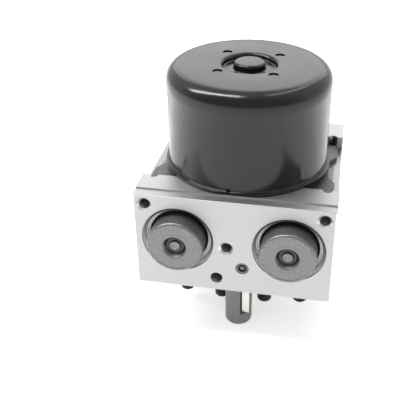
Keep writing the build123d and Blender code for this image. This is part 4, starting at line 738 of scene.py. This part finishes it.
def make_stage_white():
    """White for rays from the camera, reflections and glass, and plain lit white for all others."""
    finish = bpy.data.materials.new("stage_white")
    finish.use_nodes = True
    tree = finish.node_tree
    glow = add(tree, "ShaderNodeEmission", {"Color": linear("#ffffff"), "Strength": FLOOR_GLOW})
    matt = add(tree, "ShaderNodeBsdfDiffuse", {"Color": linear("#e8e8e8")})
    both = add(tree, "ShaderNodeAddShader", {0: glow.outputs[0], 1: matt.outputs[0]})
    ray = add(tree, "ShaderNodeLightPath").outputs
    direct = add(tree, "ShaderNodeMath", {
        0: ray["Is Camera Ray"], 1: ray["Is Glossy Ray"]}, operation="MAXIMUM").outputs[0]
    seen = add(tree, "ShaderNodeMath", {
        0: direct, 1: ray["Is Transmission Ray"]}, operation="MAXIMUM").outputs[0]
    pick = add(tree, "ShaderNodeMixShader", {0: seen, 1: matt.outputs[0], 2: both.outputs[0]})
    tree.links.new(pick.outputs[0], tree.nodes["Material Output"].inputs["Surface"])
    return finish


floor_mesh = bpy.data.meshes.new("floor")
floor_corners = [(FLOOR_REACH * x, FLOOR_REACH * y, FLOOR_Z) for x, y in ((-1, -1), (1, -1), (1, 1), (-1, 1))]
floor_mesh.from_pydata(floor_corners, [], [(0, 1, 2, 3)])
floor_mesh.materials.append(make_stage_white())
floor = bpy.data.objects.new("floor", floor_mesh)
bpy.context.collection.objects.link(floor)
print("floor at", round(FLOOR_Z / MM, 2), "mm")

# %% [markdown]
# ## Surroundings
# Polished things mirror the room, so it matters where the room is dim. The camera sees plain white
# all round. Behind the camera, above the floor, there is a dim studio: for reflections the level
# falls there with the share of the ray that points that way. All other light from the room has one
# level.

# %% White room with a dim side
DIM_FROM, DIM_TO = 0.15, -0.5
DIM_LEVEL, ROOM_LIGHT = 0.45, 0.6
world = bpy.data.worlds.new("white_room")
bpy.context.scene.world = world
world.use_nodes = True
sky = world.node_tree
rays = add(sky, "ShaderNodeLightPath").outputs
heading = add(sky, "ShaderNodeTexCoord").outputs["Generated"]
toward = add(sky, "ShaderNodeSeparateXYZ", {0: heading}).outputs
dim = add(sky, "ShaderNodeMapRange", {
    "Value": toward["Y"], "From Min": DIM_TO, "From Max": DIM_FROM, "To Min": DIM_LEVEL, "To Max": 1.0})
bent = add(sky, "ShaderNodeMath", {
    0: rays["Is Glossy Ray"], 1: rays["Is Transmission Ray"]}, operation="MAXIMUM").outputs[0]
mirrored = add(sky, "ShaderNodeMix", {FACTOR: bent, NUMBER_A: ROOM_LIGHT, NUMBER_B: dim.outputs["Result"]})
level = add(sky, "ShaderNodeMix", {
    FACTOR: rays["Is Camera Ray"], NUMBER_A: mirrored.outputs[NUMBER_OUT], NUMBER_B: 1.0})
backdrop = sky.nodes["Background"]
backdrop.inputs["Color"].default_value = linear("#ffffff")
sky.links.new(level.outputs[NUMBER_OUT], backdrop.inputs["Strength"])
print("made", world.name)

# %% [markdown]
# ## Lamps
# The long streaks on the can's shoulder and the sheen on its top are pictures of lamps. A strip lamp
# above the left gives the long streak, a faint one on the right gives the short streak, and a broad
# lamp behind the unit gives the sheen. Each runs between two points and faces the motor.

# %% Three soft lamps
LIT_POINT = Vector((0, 0, 0.1))


def strip_lamp(name, start, end, width, watts):
    """A soft rectangular lamp from start to end, as wide as width, that faces LIT_POINT. In metres."""
    start, end = Vector(start), Vector(end)
    light = bpy.data.lights.new(name, "AREA")
    light.shape = "RECTANGLE"
    light.size, light.size_y, light.energy = (end - start).length, width, watts
    along = (end - start).normalized()
    back = ((start + end) / 2 - LIT_POINT).normalized()
    back = (back - along * back.dot(along)).normalized()
    turn = Matrix((along, back.cross(along), back)).transposed()
    lamp = bpy.data.objects.new(name, light)
    lamp.matrix_world = Matrix.Translation((start + end) / 2) @ turn.to_4x4()
    bpy.context.collection.objects.link(lamp)
    print(name, "is", round(light.size, 2), "m long")


strip_lamp("back_softbox", (-0.85, 1.0, 0.75), (0.65, 1.0, 0.75), 0.75, 4.0)
strip_lamp("left_strip", (-1.15, -0.1, 0.85), (-0.1, -0.21, 1.17), 0.2, 12.0)
strip_lamp("right_strip", (0.27, 0.0, 1.15), (0.5, 0.65, 0.95), 0.14, 1.0)

# %% [markdown]
# ## Camera
# The camera was solved from the photograph: its place, its aim, a small roll, its lens, and the shift
# that a cropped picture has. A camera looks along its own -Z, so its matrix is made of the directions
# to its right, up and back.

# %% Camera in the photograph's place
EYE = Vector((0.0571, -0.3879, 0.2770))
AIM = Vector((-0.1349, 0.8677, -0.4784)).normalized()
ROLL = math.radians(0.718)
SENSOR_WIDTH, LENS = 36.0, 59.4
SHIFT_X, SHIFT_Y = -0.0848, -0.1207
level_right = AIM.cross(Vector((0, 0, 1))).normalized()
level_up = level_right.cross(AIM)
right = level_right * math.cos(ROLL) + level_up * math.sin(ROLL)
up = level_up * math.cos(ROLL) - level_right * math.sin(ROLL)
camera = bpy.data.objects.new("camera", bpy.data.cameras.new("camera"))
camera.data.sensor_width, camera.data.lens = SENSOR_WIDTH, LENS
camera.data.shift_x, camera.data.shift_y = SHIFT_X, SHIFT_Y
camera.data.clip_start, camera.data.clip_end = 0.01, 30
camera.matrix_world = Matrix.Translation(EYE) @ Matrix((right, up, -AIM)).transposed().to_4x4()
bpy.context.collection.objects.link(camera)
bpy.context.scene.camera = camera
bpy.context.scene.view_settings.view_transform = "Standard"
print("camera at", [round(v, 4) for v in camera.location])
